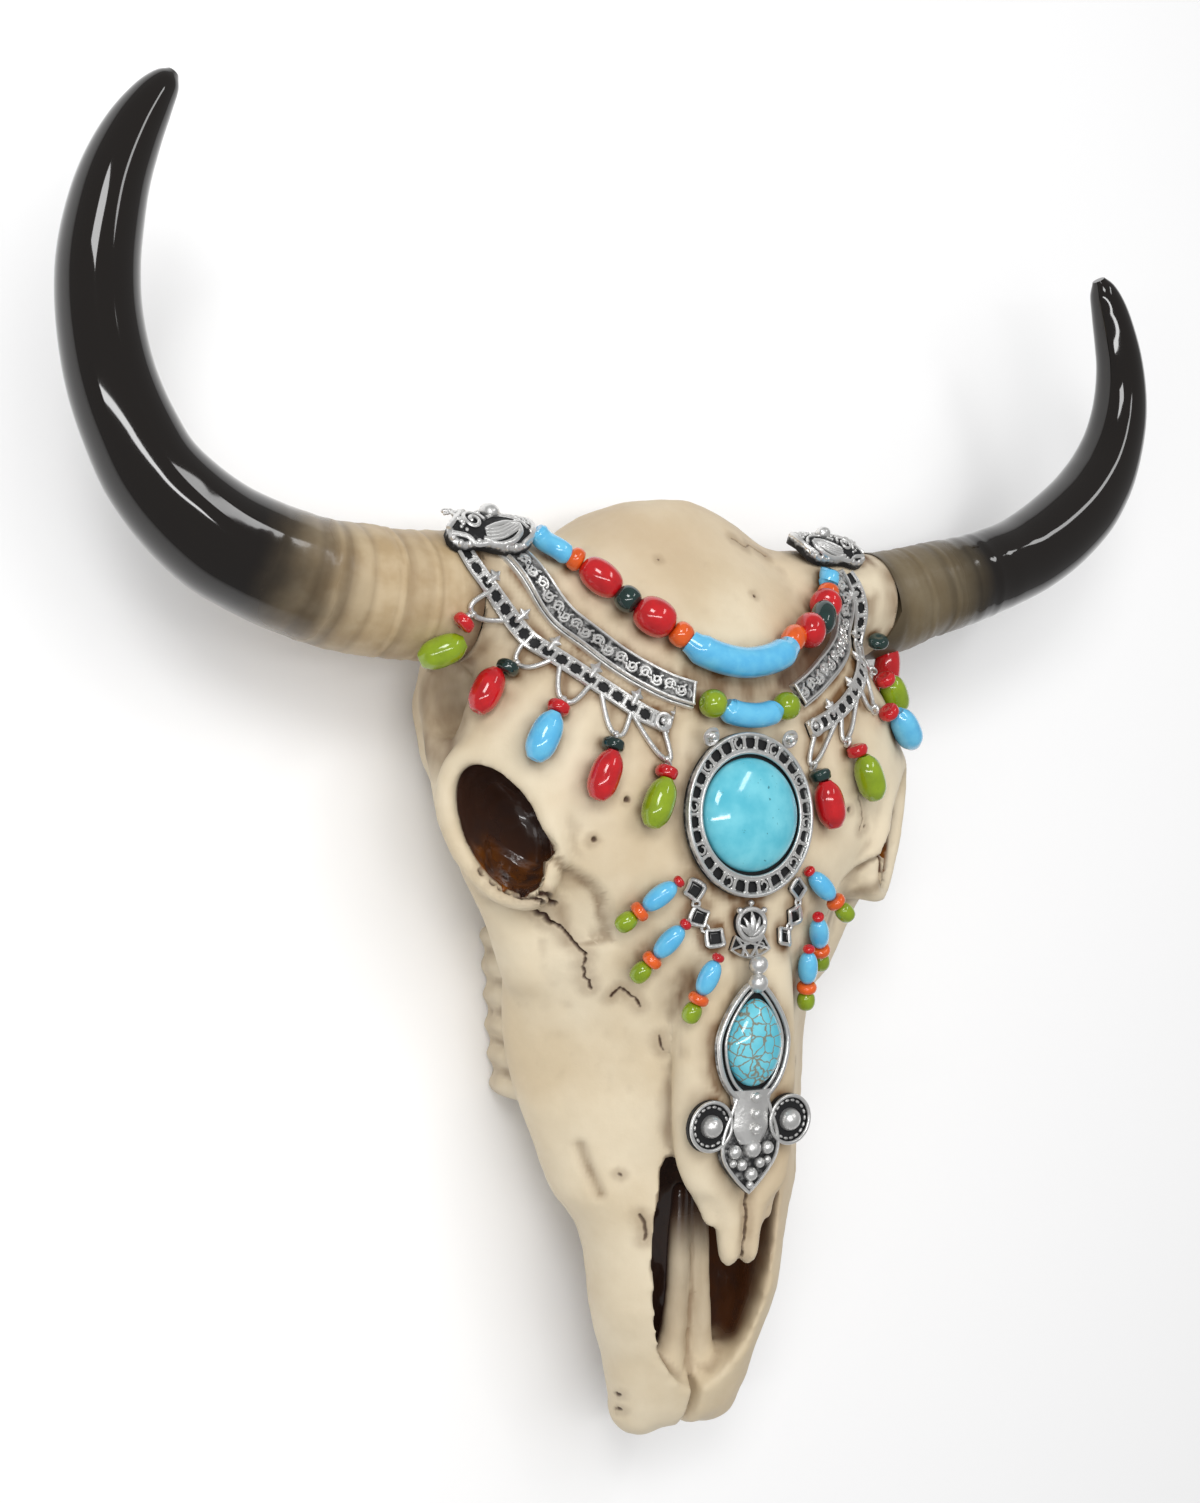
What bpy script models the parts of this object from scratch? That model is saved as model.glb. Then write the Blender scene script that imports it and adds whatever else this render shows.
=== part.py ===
"""A cow skull with horns, hung with silver and bead jewellery, lying on its back.

Metres, +Z up. X runs across the horns, +Y from the muzzle to the crown, and +Z out of the
face. The tooth rows and the base of the skull stand on the plane z = 0. The origin is
under the centre of the oval medallion.
"""

import math

import bmesh
import bpy
from mathutils import Matrix, Vector
from mathutils.bvhtree import BVHTree

MM = 0.001
GAP = 0.35 * MM

# Skull sizes, in millimetres
SKULL_VOXEL = 1.9
SKULL_TRIANGLES = 3700
RING_POINTS = 40

# Cross sections of the skull's main mass from muzzle to crown:
# y, half width, height of the widest point, top, underside, squareness of the top
HEAD_SECTIONS = (
    (-170.5, 15.0, 35.0, 40.5, 29.0, 2.6),
    (-166.5, 19.5, 36.0, 45.0, 26.0, 2.6),
    (-158.0, 22.0, 38.0, 49.0, 24.0, 2.6),
    (-148.0, 24.3, 40.0, 53.5, 22.0, 2.5),
    (-135.0, 28.3, 43.0, 58.0, 21.0, 2.5),
    (-120.0, 30.3, 44.0, 61.5, 20.0, 2.3),
    (-111.0, 32.5, 42.0, 64.0, 19.0, 2.0),
    (-103.0, 38.5, 38.0, 66.0, 18.0, 1.8),
    (-94.0, 41.5, 36.0, 67.0, 16.0, 1.55),
    (-80.0, 46.0, 33.0, 68.5, 14.0, 1.45),
    (-67.0, 49.0, 30.0, 71.5, 12.0, 1.38),
    (-52.0, 50.5, 31.0, 74.5, 12.0, 1.42),
    (-36.0, 52.5, 36.0, 75.5, 12.0, 1.65),
    (-23.0, 54.0, 40.0, 75.5, 12.0, 2.0),
    (-9.0, 62.0, 45.0, 74.0, 12.0, 2.9),
    (10.0, 72.0, 48.0, 74.0, 13.0, 3.3),
    (25.0, 71.0, 48.0, 73.5, 12.0, 3.1),
    (40.0, 65.0, 46.0, 71.5, 9.0, 2.9),
    (52.0, 57.0, 44.0, 68.5, 8.0, 2.6),
    (62.0, 53.0, 40.0, 64.5, 9.0, 2.4),
    (71.0, 46.0, 36.0, 60.0, 12.0, 2.2),
    (79.0, 37.0, 32.0, 55.5, 14.0, 2.1),
    (87.0, 26.0, 29.0, 50.5, 17.0, 2.0),
    (91.5, 15.0, 28.0, 45.5, 20.0, 2.0),
    (93.0, 7.0, 28.0, 39.0, 24.0, 2.0),
)

# Eye socket on the right side: opening centre, the way it faces, and its half sizes
ORBIT_CENTRE = (64.6, -3.4, 57.0)
ORBIT_FACING = (0.7, -0.1, 0.7)
ORBIT_TILT = math.radians(26.0)
ORBIT_HALF = (10.4, 18.8)
ORBIT_DEPTH = 25.0
RIM_THICKNESS = 3.8
RIM_SINK = 1.2

# Round bones of the right side as runs of (x, y, z, radius)
CHEEK_ARCH = (
    (46, -40, 38, 9), (53, -26, 41, 8), (61, -13, 42, 7.5), (68, 4, 39, 7), (68, 20, 31, 6.5),
    (65, 36, 24, 8), (60, 50, 22, 10),
)
TEMPLE = ((52, 62, 26, 12), (58, 48, 19, 10), (62, 32, 17, 9.5), (61, 18, 18, 8.5), (56, 6, 22, 8))

# Horn seats: the bone under each horn ends flat at this distance from the midline
HORN_SEAT_X = 69.0
HORN_SEATS = {"left": (-1, 59.0, 42.0, 17.7), "right": (1, 65.6, 42.0, 16.4)}
SIDE_PROCESS = ((30, 56, 22, 7), (31, 53, 10, 6), (30, 51, 2, 5))
WING = ((20, 6, 22, 6), (19, -2, 12, 5), (17, -8, 5, 4))
MIDDLE_KEEL = ((0, -26, 13, 9), (0, -8, 7.5, 10), (0, 10, 7, 10.5), (0, 40, 8, 12), (0, 56, 8, 13))

# Nasal bone of the right side: y, centre x, centre z, half width, half thickness
NASAL_SECTIONS = (
    (-22.0, 8.0, 68.0, 6.0, 5.0),
    (-40.0, 8.6, 69.4, 8.8, 7.0),
    (-60.0, 9.0, 68.8, 9.6, 7.6),
    (-80.0, 9.2, 67.8, 9.8, 7.2),
    (-92.0, 9.0, 67.6, 9.2, 6.2),
    (-100.0, 7.6, 68.0, 7.8, 5.0),
    (-106.0, 5.4, 68.0, 5.4, 4.2),
    (-112.0, 3.9, 67.6, 3.6, 3.6),
    (-117.0, 3.5, 67.0, 3.0, 3.0),
    (-119.5, 3.4, 66.8, 1.2, 1.4),
)
NASAL_SPUR = ((10.5, -92, 66, 4.2), (10.6, -101, 67, 3.0), (9.8, -107.5, 67.2, 1.7))
MEDIAL_BAR = (
    (3.0, -104, 45, 2.6), (3.4, -118, 44.5, 3.2), (3.8, -135, 43, 3.6), (4.6, -148, 41, 4.4),
    (6.0, -158, 38.5, 6.0),
)
MUZZLE_END = (11.0, -163.5, 35.0)
MUZZLE_END_HALF = (9.4, 8.6, 8.4)

# Nasal cavity: y, half width, floor, roof
NASAL_CAVITY = (
    (-84.0, 9.0, 48.0, 58.0),
    (-91.0, 16.5, 42.0, 62.0),
    (-94.0, 18.0, 38.0, 82.0),
    (-105.0, 19.5, 32.0, 82.0),
    (-120.0, 19.5, 29.0, 82.0),
    (-136.0, 18.0, 28.0, 82.0),
    (-145.0, 15.5, 30.0, 82.0),
    (-151.0, 8.0, 37.0, 82.0),
)

# Upper cheek teeth of the right side
TOOTH_X = 38.5
TOOTH_FIRST_Y = -33.0
TOOTH_PITCH = 8.6
TOOTH_COUNT = 6
TOOTH_HALF = (6.8, 4.7, 17.0)

# Horns: x, y, z, radius from the seat to the tip
HORN_RUNS = {
    "left": (
        (-69.4, 59.0, 42.0, 17.7), (-71.0, 59.0, 42.0, 17.7), (-84.0, 58.6, 43.0, 17.2),
        (-97.0, 59.0, 43.8, 16.9),
        (-108.0, 60.0, 44.8, 16.4), (-118.0, 62.0, 45.8, 15.8), (-128.0, 65.0, 47.0, 15.2),
        (-137.5, 69.0, 48.0, 14.6), (-147.0, 75.5, 49.3, 13.5), (-154.7, 83.1, 50.5, 12.4),
        (-160.2, 92.0, 51.8, 11.6), (-164.4, 101.0, 53.0, 11.0), (-167.2, 110.0, 54.2, 10.5),
        (-169.0, 120.4, 55.2, 10.1), (-169.4, 131.0, 56.4, 9.8), (-168.2, 142.0, 57.6, 9.2),
        (-166.1, 151.8, 58.9, 8.3), (-162.6, 161.5, 60.0, 7.1), (-158.6, 169.6, 61.0, 5.5),
        (-155.2, 175.0, 61.6, 3.7), (-153.4, 177.6, 61.9, 1.6),
    ),
    "right": (
        (69.4, 65.6, 42.0, 16.4), (71.0, 65.6, 42.0, 16.4), (80.0, 68.0, 43.0, 15.6),
        (90.2, 71.3, 44.2, 14.8),
        (107.0, 76.0, 46.1, 13.8), (122.8, 82.0, 48.0, 13.2), (132.0, 86.8, 49.1, 13.2),
        (141.0, 93.0, 50.3, 13.1), (150.0, 101.0, 51.7, 12.6), (156.0, 108.4, 52.7, 11.8),
        (160.2, 115.5, 53.6, 10.9), (163.4, 124.0, 54.8, 9.8), (165.0, 132.5, 56.0, 9.0),
        (165.2, 141.0, 57.0, 8.2), (163.8, 149.5, 58.2, 7.4), (161.2, 157.5, 59.2, 6.7),
        (157.6, 165.5, 60.4, 5.7), (153.9, 171.5, 61.4, 4.2), (151.6, 174.8, 61.9, 2.0),
    ),
}
HORN_RESOLUTION = 4

# Clasps: where each lies on the horn root, as x range, angle range from straight up
# towards +Y, and the radius of its underside
CLASPS = {
    "left": ((-78.5, -55.0), (36.0, 92.0), 59.2, 42.0, 18.2),
    "right": ((39.0, 62.0), (40.0, 92.0), 64.2, 42.0, 17.0),
}
CLASP_THICKNESS = 2.0
CLASP_BULGE = 4.2

# Engraved bars and openwork bands, as seen on the bone from above: x, y
BAR_WIDTH, BAR_THICKNESS = 7.0, 2.2
BAR_ROUTES = {
    "left": ((-58.4, 67.4), (-55.2, 63), (-51.5, 57.6), (-46, 51.4), (-41, 46.1), (-35.5, 41.2),
             (-29, 37.2), (-22.5, 34.2), (-16.6, 32.6)),
    "right": ((19.8, 33.2), (25, 36.4), (30.5, 40.6), (37, 45.4), (42.6, 50.4), (46, 55.8),
              (47, 61.4), (46.4, 66.6)),
}
BAND_WIDTH, BAND_THICKNESS = 5.0, 1.6
BAND_ROUTES = {
    "left": ((-75, 69.4), (-74, 66.6), (-72, 63.4), (-69, 59.6), (-64.4, 54.8), (-58.4, 49.0),
             (-52.3, 42.7), (-45.8, 37.1), (-38.1, 31.5), (-29.6, 26.3), (-22.6, 23.8)),
    "right": ((22.6, 23.6), (31.6, 27.6), (39.2, 32.6), (46, 39.1), (51.4, 45.2), (55.2, 51.4),
              (57.0, 57.6), (56.6, 64.0)),
}
WIRE_RADIUS = 0.75
# Each wire loop: its two feet along the band from 0 to 1, and its lowest point
BAND_LOOPS = {
    "left": ((0.17, 0.29, (-73.4, 52.6)), (0.40, 0.52, (-59.3, 39.6)),
             (0.56, 0.68, (-51.2, 29.8)), (0.73, 0.85, (-38.6, 21.0)),
             (0.86, 0.985, (-24.2, 14.6))),
    "right": ((0.02, 0.16, (24.0, 14.4)), (0.2, 0.34, (37.0, 21.6)),
              (0.41, 0.54, (50.0, 31.4)), (0.62, 0.75, (60.4, 44.0))),
}

# Oval medallion
MEDALLION_HALF = (20.4, 22.2)
MEDALLION_RIM = 4.2
MEDALLION_HEIGHT = 3.4
MEDALLION_FLOOR = 1.2
LOOP_PLACE = (12.8, 21.8)
STONE_HALF = (15.0, 15.4, 6.2)
DOME_SIDES = 18

# Pendant: a teardrop rim with its stone, two balls over it and a fleur-de-lis below
TEAR_CENTRE_Y = -60.5
TEAR_HALF = (11.8, 16.5)
TEAR_RIM = 2.8
TEAR_STONE_HALF = (8.4, 11.6, 4.6)
PENDANT_THICKNESS = 2.4
PENDANT_SLANT = 0.03
BALLS = ((0, -40.0, 2.6), (0, -44.8, 2.7))
FLEUR_LOBE = (12.8, -81.8, 6.6)
FLEUR_OUTLINE = ((4.5, -74), (6.5, -79), (8.6, -87), (7.8, -92), (3.6, -97), (0, -100.4))

# Beads of the top strand: name, x, y, half length, radius, colour
STRAND = (
    ("strand_orange_left_outer", -43.4, 67.2, 1.6, 3.3, "orange"),
    ("strand_red_left", -37.4, 61.8, 5.4, 4.6, "red"),
    ("strand_dark_left", -30.8, 56.0, 2.0, 3.7, "dark_green"),
    ("strand_round_left", -24.8, 51.0, 4.7, 5.3, "red"),
    ("strand_orange_left_inner", -18.0, 47.2, 1.7, 3.6, "orange"),
    ("strand_orange_right_inner", 19.0, 47.4, 1.7, 3.6, "orange"),
    ("strand_round_right", 25.2, 50.4, 4.2, 5.2, "red"),
    ("strand_dark_right", 31.0, 54.6, 1.8, 3.7, "dark_green"),
    ("strand_red_right", 35.6, 59.4, 3.8, 4.6, "red"),
    ("strand_orange_right_outer", 39.0, 65.2, 1.5, 3.3, "orange"),
)
STRAND_TUBES = (
    ("strand_tube_left", ((-53.6, 76.2), (-51.0, 73.6), (-48.2, 71.0), (-45.8, 69.4)), 2.9),
    ("strand_tube_centre", ((-15.4, 45.6), (-11, 43.4), (-5.5, 41.9), (0, 41.3), (5.5, 41.9),
                            (11, 43.4), (16, 45.8)), 4.3),
    ("strand_tube_right", ((40.2, 67.8), (40.6, 69.2), (41.0, 70.6), (41.2, 72.0)), 2.9),
)
SECOND = (
    ("second_green_left", -11.0, 29.6, 3.2, 4.0, "lime"),
    ("second_green_right", 13.6, 29.8, 3.2, 4.0, "lime"),
)
TUBE_END = 0.8
SECOND_TUBE = ("second_tube", ((-6.6, 28.2), (-2.6, 27.2), (1.4, 26.9), (5.4, 27.2), (9.4, 28.3)), 3.5)

# Upper dangles: cap ring x, y and bead x, y, then the two colours
DANGLES = {
    "left_1": ((-25.2, 11.0), (-28.3, 2.6), "red", "lime"),
    "left_2": ((-39.9, 18.0), (-43.0, 9.8), "dark_green", "red"),
    "left_3": ((-52.8, 27.0), (-56.8, 19.2), "red", "blue"),
    "left_4": ((-61.0, 37.6), (-65.4, 30.8), "dark_green", "red"),
    "left_5": ((-76.7, 50.8), (-81.0, 45.8), "red", "lime"),
    "right_1": ((24.4, 11.0), (26.8, 2.6), "dark_green", "red"),
    "right_2": ((38.6, 18.2), (42.0, 10.2), "red", "lime"),
    "right_3": ((54.6, 29.4), (62.0, 24.4), "red", "blue"),
    "right_4": ((59.0, 39.4), (64.8, 35.4), "red", "lime"),
    "right_5": ((61.4, 54.6), (63.8, 47.0), "dark_green", "red"),
}
CAP_HALF, CAP_RADIUS = 1.5, 2.9
DANGLE_HALF, DANGLE_RADIUS = 6.2, 4.2

# Lower drops: first point and last point of each run of four small beads
DROPS = {
    "left_a": ((-21.6, -17.4), (-33.8, -28.2)),
    "left_b": ((-20.4, -28.6), (-29.4, -41.6)),
    "left_c": ((-14.6, -37.4), (-18.8, -52.2)),
    "right_a": ((22.6, -16.8), (33.8, -27.6)),
    "right_b": ((23.6, -28.4), (31.0, -41.6)),
    "right_c": ((19.0, -37.6), (22.4, -52.6)),
}
# Outline of a drop: share of its length, radius
DROP_PROFILE = (
    (0.0, 0.9), (0.07, 1.6), (0.15, 1.4), (0.36, 3.0), (0.55, 2.9), (0.66, 1.7), (0.70, 2.7),
    (0.79, 2.6), (0.90, 2.4), (1.0, 0.8),
)
LINK_STRIPS = {
    "left": ((-17.4, -16.4), (-16.2, -19.0), (-15.6, -22.0), (-15.2, -25.6), (-13.4, -29.0),
             (-10.8, -32.4), (-7.6, -35.0)),
    "right": ((18.0, -16.4), (17.6, -19.0), (17.6, -22.0), (17.4, -25.6), (15.6, -29.0),
              (13.0, -32.4), (9.6, -35.2)),
}
LINK_WIDTHS = (1.6, 6.0, 1.8, 6.0, 1.8, 6.0, 1.6)
LOTUS = (0.4, -28.8, 4.8, 5.2, 2.0)
V_ROUTE = ((-5.4, -34.2), (-2.6, -35.6), (0.2, -36.2), (3.0, -35.6), (5.8, -34.2))

COLOURS = {
    "silver": ((0.42, 0.42, 0.42), 0.3, 1.0),
    "turquoise": ((0.12, 0.6, 0.66), 0.2, 0.0),
    "blue": ((0.12, 0.5, 0.75), 0.15, 0.0),
    "red": ((0.6, 0.02, 0.03), 0.15, 0.0),
    "dark_green": ((0.02, 0.05, 0.04), 0.15, 0.0),
    "orange": ((0.75, 0.14, 0.03), 0.15, 0.0),
    "lime": ((0.28, 0.38, 0.02), 0.15, 0.0),
    "horn": ((0.01, 0.008, 0.006), 0.12, 0.0),
    "bone": ((0.72, 0.6, 0.42), 0.55, 0.0),
}


def clear_scene():
    """Remove every object of the scene."""
    for obj in list(bpy.data.objects):
        bpy.data.objects.remove(obj)


def make_collection(name):
    """A collection in the scene."""
    collection = bpy.data.collections.new(name)
    bpy.context.scene.collection.children.link(collection)
    return collection


def make_material(name, colour, roughness, metallic=0.0):
    """A plain Principled material."""
    material = bpy.data.materials.new(name)
    material.use_nodes = True
    shader = material.node_tree.nodes["Principled BSDF"]
    shader.inputs["Base Color"].default_value = (*colour, 1.0)
    shader.inputs["Roughness"].default_value = roughness
    shader.inputs["Metallic"].default_value = metallic
    return material


def add_object(name, shape, collection):
    """An object holding the bmesh shape, which is freed."""
    mesh = bpy.data.meshes.new(name)
    bmesh.ops.recalc_face_normals(shape, faces=shape.faces)
    shape.to_mesh(mesh)
    shape.free()
    obj = bpy.data.objects.new(name, mesh)
    collection.objects.link(obj)
    return obj


def bake(obj):
    """Replace the object's mesh by its evaluated one and drop its modifiers."""
    bpy.context.view_layer.update()
    graph = bpy.context.evaluated_depsgraph_get()
    mesh = bpy.data.meshes.new_from_object(obj.evaluated_get(graph))
    obj.modifiers.clear()
    obj.data = mesh


def mirrored(run):
    """The same run of points on the other side of the midline."""
    return tuple((-point[0], *point[1:]) for point in run)


def rings_to_shape(rings):
    """Skin a closed body over rings of equal length."""
    shape = bmesh.new()
    rows = [[shape.verts.new(point) for point in ring] for ring in rings]
    count = len(rows[0])
    for row, following in zip(rows, rows[1:]):
        for i in range(count):
            j = (i + 1) % count
            shape.faces.new((row[i], row[j], following[j], following[i]))
    shape.faces.new(rows[0])
    shape.faces.new(rows[-1])
    bmesh.ops.recalc_face_normals(shape, faces=shape.faces)
    return shape


def rounded_power(value, power):
    """A signed power, which squares off or pinches a sine or cosine."""
    return math.copysign(abs(value) ** power, value)


def head_ring(section):
    """One cross section of the skull's main mass."""
    y, half, side, top, under, squareness = section
    ring = []
    for i in range(RING_POINTS):
        angle = math.tau * i / RING_POINTS
        up = math.sin(angle)
        upper = 2 / squareness if up >= 0 else 0.75
        height = (top - side) if up >= 0 else (side - under)
        x = half * rounded_power(math.cos(angle), upper)
        z = side + height * rounded_power(up, upper if squareness < 2 else 1.0)
        ring.append(Vector((x, y, z)) * MM)
    return ring


def oval_ring(y, x, z, half, thick, points=20):
    """An oval cross section square to Y."""
    angles = [math.tau * i / points for i in range(points)]
    return [Vector((x + half * math.cos(a), y, z + thick * math.sin(a))) * MM for a in angles]


def box_ring(y, half, floor, roof, points=28):
    """A cross section with a rounded floor and straight sides."""
    ring = []
    for i in range(points):
        angle = math.tau * i / points
        x = half * rounded_power(math.cos(angle), 0.45)
        z = (floor + roof) / 2 + (roof - floor) / 2 * rounded_power(math.sin(angle), 0.6)
        ring.append(Vector((x, y, z)) * MM)
    return ring


def ball_shape(centre, half, turn=None):
    """An ellipsoid with its half sizes along the axes of turn."""
    shape = bmesh.new()
    bmesh.ops.create_uvsphere(shape, u_segments=24, v_segments=14, radius=1.0)
    matrix = Matrix.Translation(Vector(centre) * MM)
    matrix = matrix @ (turn or Matrix.Identity(4)) @ Matrix.Diagonal((*[h * MM for h in half], 1))
    bmesh.ops.transform(shape, matrix=matrix, verts=shape.verts)
    return shape


def bone_shape(run, sides=14):
    """A round bone along a run of (x, y, z, radius), with ball ends."""
    centres = [Vector(point[:3]) * MM for point in run]
    radii = [point[3] * MM for point in run]
    rings = []
    for i, (centre, radius) in enumerate(zip(centres, radii)):
        before = centres[max(i - 1, 0)]
        after = centres[min(i + 1, len(centres) - 1)]
        turn = (after - before).to_track_quat("Z", "Y").to_matrix()
        ring = []
        for k in range(sides):
            angle = math.tau * k / sides
            ring.append(centre + turn @ Vector((math.cos(angle), math.sin(angle), 0)) * radius)
        rings.append(ring)
    shape = rings_to_shape(rings)
    for point in (run[0], run[-1]):
        add_into(shape, ball_shape(point[:3], (point[3],) * 3))
    return shape


def add_into(shape, other):
    """Copy another bmesh into this one and free it."""
    mesh = bpy.data.meshes.new("passing")
    other.to_mesh(mesh)
    other.free()
    shape.from_mesh(mesh)
    bpy.data.meshes.remove(mesh)


def orbit_turn(side):
    """The frame of an eye socket: local Z looks out of it, local Y runs along the skull."""
    facing = Vector((side * ORBIT_FACING[0], *ORBIT_FACING[1:])).normalized()
    along = Vector((0, 1, 0))
    across = along.cross(facing).normalized()
    along = facing.cross(across)
    frame = Matrix((across, along, facing)).transposed().to_4x4()
    return frame @ Matrix.Rotation(-side * ORBIT_TILT, 4, "Z")


def rim_shape(side):
    """The ring of bone round an eye socket."""
    shape = bmesh.new()
    turns, sides = 32, 10
    across, along = (half + RIM_THICKNESS * 0.7 for half in ORBIT_HALF)
    frame = Matrix.Translation(orbit_centre(side)) @ orbit_turn(side)
    rows = []
    for i in range(turns):
        angle = math.tau * i / turns
        outward = Vector((math.cos(angle), math.sin(angle), 0))
        middle = Vector((across * outward.x, along * outward.y, 0))
        row = []
        for k in range(sides):
            tube = math.tau * k / sides
            offset = outward * math.cos(tube) + Vector((0, 0, math.sin(tube) * 1.25))
            thick = RIM_THICKNESS * (0.82 + 0.18 * math.sin(angle))
            place = middle + offset * thick - Vector((0, 0, RIM_SINK))
            row.append(shape.verts.new(frame @ (place * MM)))
        rows.append(row)
    for i in range(turns):
        row, following = rows[i], rows[(i + 1) % turns]
        for k in range(sides):
            j = (k + 1) % sides
            shape.faces.new((row[k], row[j], following[j], following[k]))
    bmesh.ops.recalc_face_normals(shape, faces=shape.faces)
    return shape


def orbit_centre(side):
    """The middle of an eye socket's opening, in metres."""
    return Vector((side * ORBIT_CENTRE[0], *ORBIT_CENTRE[1:])) * MM


def orbit_ball(side, grow):
    """The eye socket's hollow, or with grow the cup of bone behind its opening."""
    half = (ORBIT_HALF[0] + grow, ORBIT_HALF[1] + grow, ORBIT_DEPTH + grow * 0.5)
    shape = ball_shape((0, 0, 0), half)
    if grow:
        for vert in shape.verts:
            vert.co.z = min(vert.co.z, 0.0)
    frame = Matrix.Translation(orbit_centre(side)) @ orbit_turn(side)
    bmesh.ops.transform(shape, matrix=frame, verts=shape.verts)
    return shape


def skull_mass():
    """The overlapping shapes that the skull grows from."""
    shape = rings_to_shape([head_ring(section) for section in HEAD_SECTIONS])
    for side in (1, -1):
        for run in (CHEEK_ARCH, TEMPLE, SIDE_PROCESS, WING):
            add_into(shape, bone_shape(run if side > 0 else mirrored(run)))
        add_into(shape, rim_shape(side))
        add_into(shape, orbit_ball(side, 5.0))
        add_into(shape, ball_shape((side * 14, 66, 13), (10, 12, 12)))
        for i in range(TOOTH_COUNT):
            y = TOOTH_FIRST_Y - TOOTH_PITCH * i
            add_into(shape, ball_shape((side * (TOOTH_X - 0.5 * i), y, 12), TOOTH_HALF))
    for side, y, z, radius in HORN_SEATS.values():
        boss = ((side * 34, y - 4, z, radius + 2), (side * 52, y - 1, z, radius + 0.8))
        add_into(shape, bone_shape((*boss, (side * HORN_SEAT_X, y, z, radius - 0.4))))
    add_into(shape, bone_shape(MIDDLE_KEEL))
    return shape


def skull_hollows():
    """The shapes that are taken out of the skull's mass."""
    hollows = [rings_to_shape([box_ring(*section) for section in NASAL_CAVITY])]
    for side in (1, -1):
        hollows.append(orbit_ball(side, 0.0))
        turn = Matrix.Rotation(side * math.radians(8), 4, "Y")
        hollows.append(ball_shape((side * 78, 31, 37), (21, 11, 8.5), turn))
    hollows.append(ball_shape((0, -84, 2), (33, 70, 15)))
    hollows.append(ball_shape((0, 80, 20), (9, 22, 9)))
    hollows.append(ball_shape((0, -172, 42), (1.8, 20, 17)))
    return hollows


def flat_cuts():
    """The shapes that cut the skull flat: beyond each horn seat, and below the rest plane."""
    cuts = []
    for side, y, z, radius in HORN_SEATS.values():
        beyond = bmesh.new()
        wide = (radius + 2) * MM
        bmesh.ops.create_cone(
            beyond, cap_ends=True, segments=32, radius1=wide, radius2=wide, depth=50 * MM
        )
        place = Matrix.Translation(Vector((side * (HORN_SEAT_X + 25), y, z)) * MM)
        turn = Matrix.Rotation(math.radians(90), 4, "Y")
        bmesh.ops.transform(beyond, matrix=place @ turn, verts=beyond.verts)
        cuts.append(beyond)
    below = bmesh.new()
    bmesh.ops.create_cube(below, size=0.5)
    bmesh.ops.translate(below, vec=(0, 0, -0.25), verts=below.verts)
    cuts.append(below)
    return cuts


def skull_details():
    """The thin bones that are added once the nose is hollow."""
    shape = bmesh.new()
    for side in (1, -1):
        rings = [oval_ring(y, side * x, z, half, thick) for y, x, z, half, thick in NASAL_SECTIONS]
        add_into(shape, rings_to_shape(rings))
        for run in (NASAL_SPUR, MEDIAL_BAR):
            add_into(shape, bone_shape(run if side > 0 else mirrored(run)))
        end = (side * MUZZLE_END[0], *MUZZLE_END[1:])
        add_into(shape, ball_shape(end, MUZZLE_END_HALF))
    return shape


def remesh(obj, voxel, smoothing):
    """Fuse overlapping bodies into one even skin and smooth it."""
    grid = obj.modifiers.new("fuse", "REMESH")
    grid.mode = "VOXEL"
    grid.voxel_size = voxel * MM
    soften = obj.modifiers.new("soften", "SMOOTH")
    soften.factor = 0.5
    soften.iterations = smoothing
    bake(obj)


def cut(obj, cutter):
    """Take the cutter out of the object."""
    cutter.hide_render = True
    cutter.display_type = "WIRE"
    difference = obj.modifiers.new("cut", "BOOLEAN")
    difference.operation = "DIFFERENCE"
    difference.object = cutter
    bake(obj)


def build_skull(parts, cutters, material):
    """The skull: fused, hollowed, given its thin bones, thinned out and cut flat below."""
    skull = add_object("skull", skull_mass(), parts)
    remesh(skull, SKULL_VOXEL, 9)
    for number, hollow in enumerate(skull_hollows()):
        cut(skull, add_object(f"hollow_{number}", hollow, cutters))
    details = add_object("details", skull_details(), cutters)
    shape = bmesh.new()
    shape.from_mesh(skull.data)
    shape.from_mesh(details.data)
    bpy.data.objects.remove(details)
    shape.to_mesh(skull.data)
    shape.free()
    remesh(skull, SKULL_VOXEL * 0.8, 3)
    thin = skull.modifiers.new("thin", "DECIMATE")
    thin.ratio = SKULL_TRIANGLES / (2 * len(skull.data.polygons))
    bake(skull)
    for number, shape in enumerate(flat_cuts()):
        cut(skull, add_object(f"flat_cut_{number}", shape, cutters))
    skull.data.materials.clear()
    skull.data.materials.append(material)
    return skull


class Ground:
    """The bone and horn under the jewellery, for finding heights and touching places."""

    def __init__(self, *objects):
        """Gather the meshes of the objects."""
        shape = bmesh.new()
        for obj in objects:
            shape.from_mesh(obj.data)
        bmesh.ops.triangulate(shape, faces=shape.faces)
        self.tree = BVHTree.FromBMesh(shape)
        shape.free()

    def hit(self, x, y):
        """The point and normal under a place given in millimetres."""
        start = Vector((x * MM, y * MM, 0.2))
        point, normal, _, _ = self.tree.ray_cast(start, Vector((0, 0, -1)))
        if point is None:
            point, normal, _, _ = self.tree.find_nearest(Vector((x * MM, y * MM, 55 * MM)))
        return point, normal

    def even_normal(self, x, y, reach=3.0):
        """The average normal around a place."""
        total = Vector((0, 0, 0))
        for dx, dy in ((0, 0), (reach, 0), (-reach, 0), (0, reach), (0, -reach)):
            total += self.hit(x + dx, y + dy)[1]
        return total.normalized()

    def touches(self, obj):
        """Whether the object's faces cross the ground's."""
        shape = bmesh.new()
        shape.from_mesh(obj.data)
        tree = BVHTree.FromBMesh(shape)
        shape.free()
        return bool(self.tree.overlap(tree))


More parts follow.
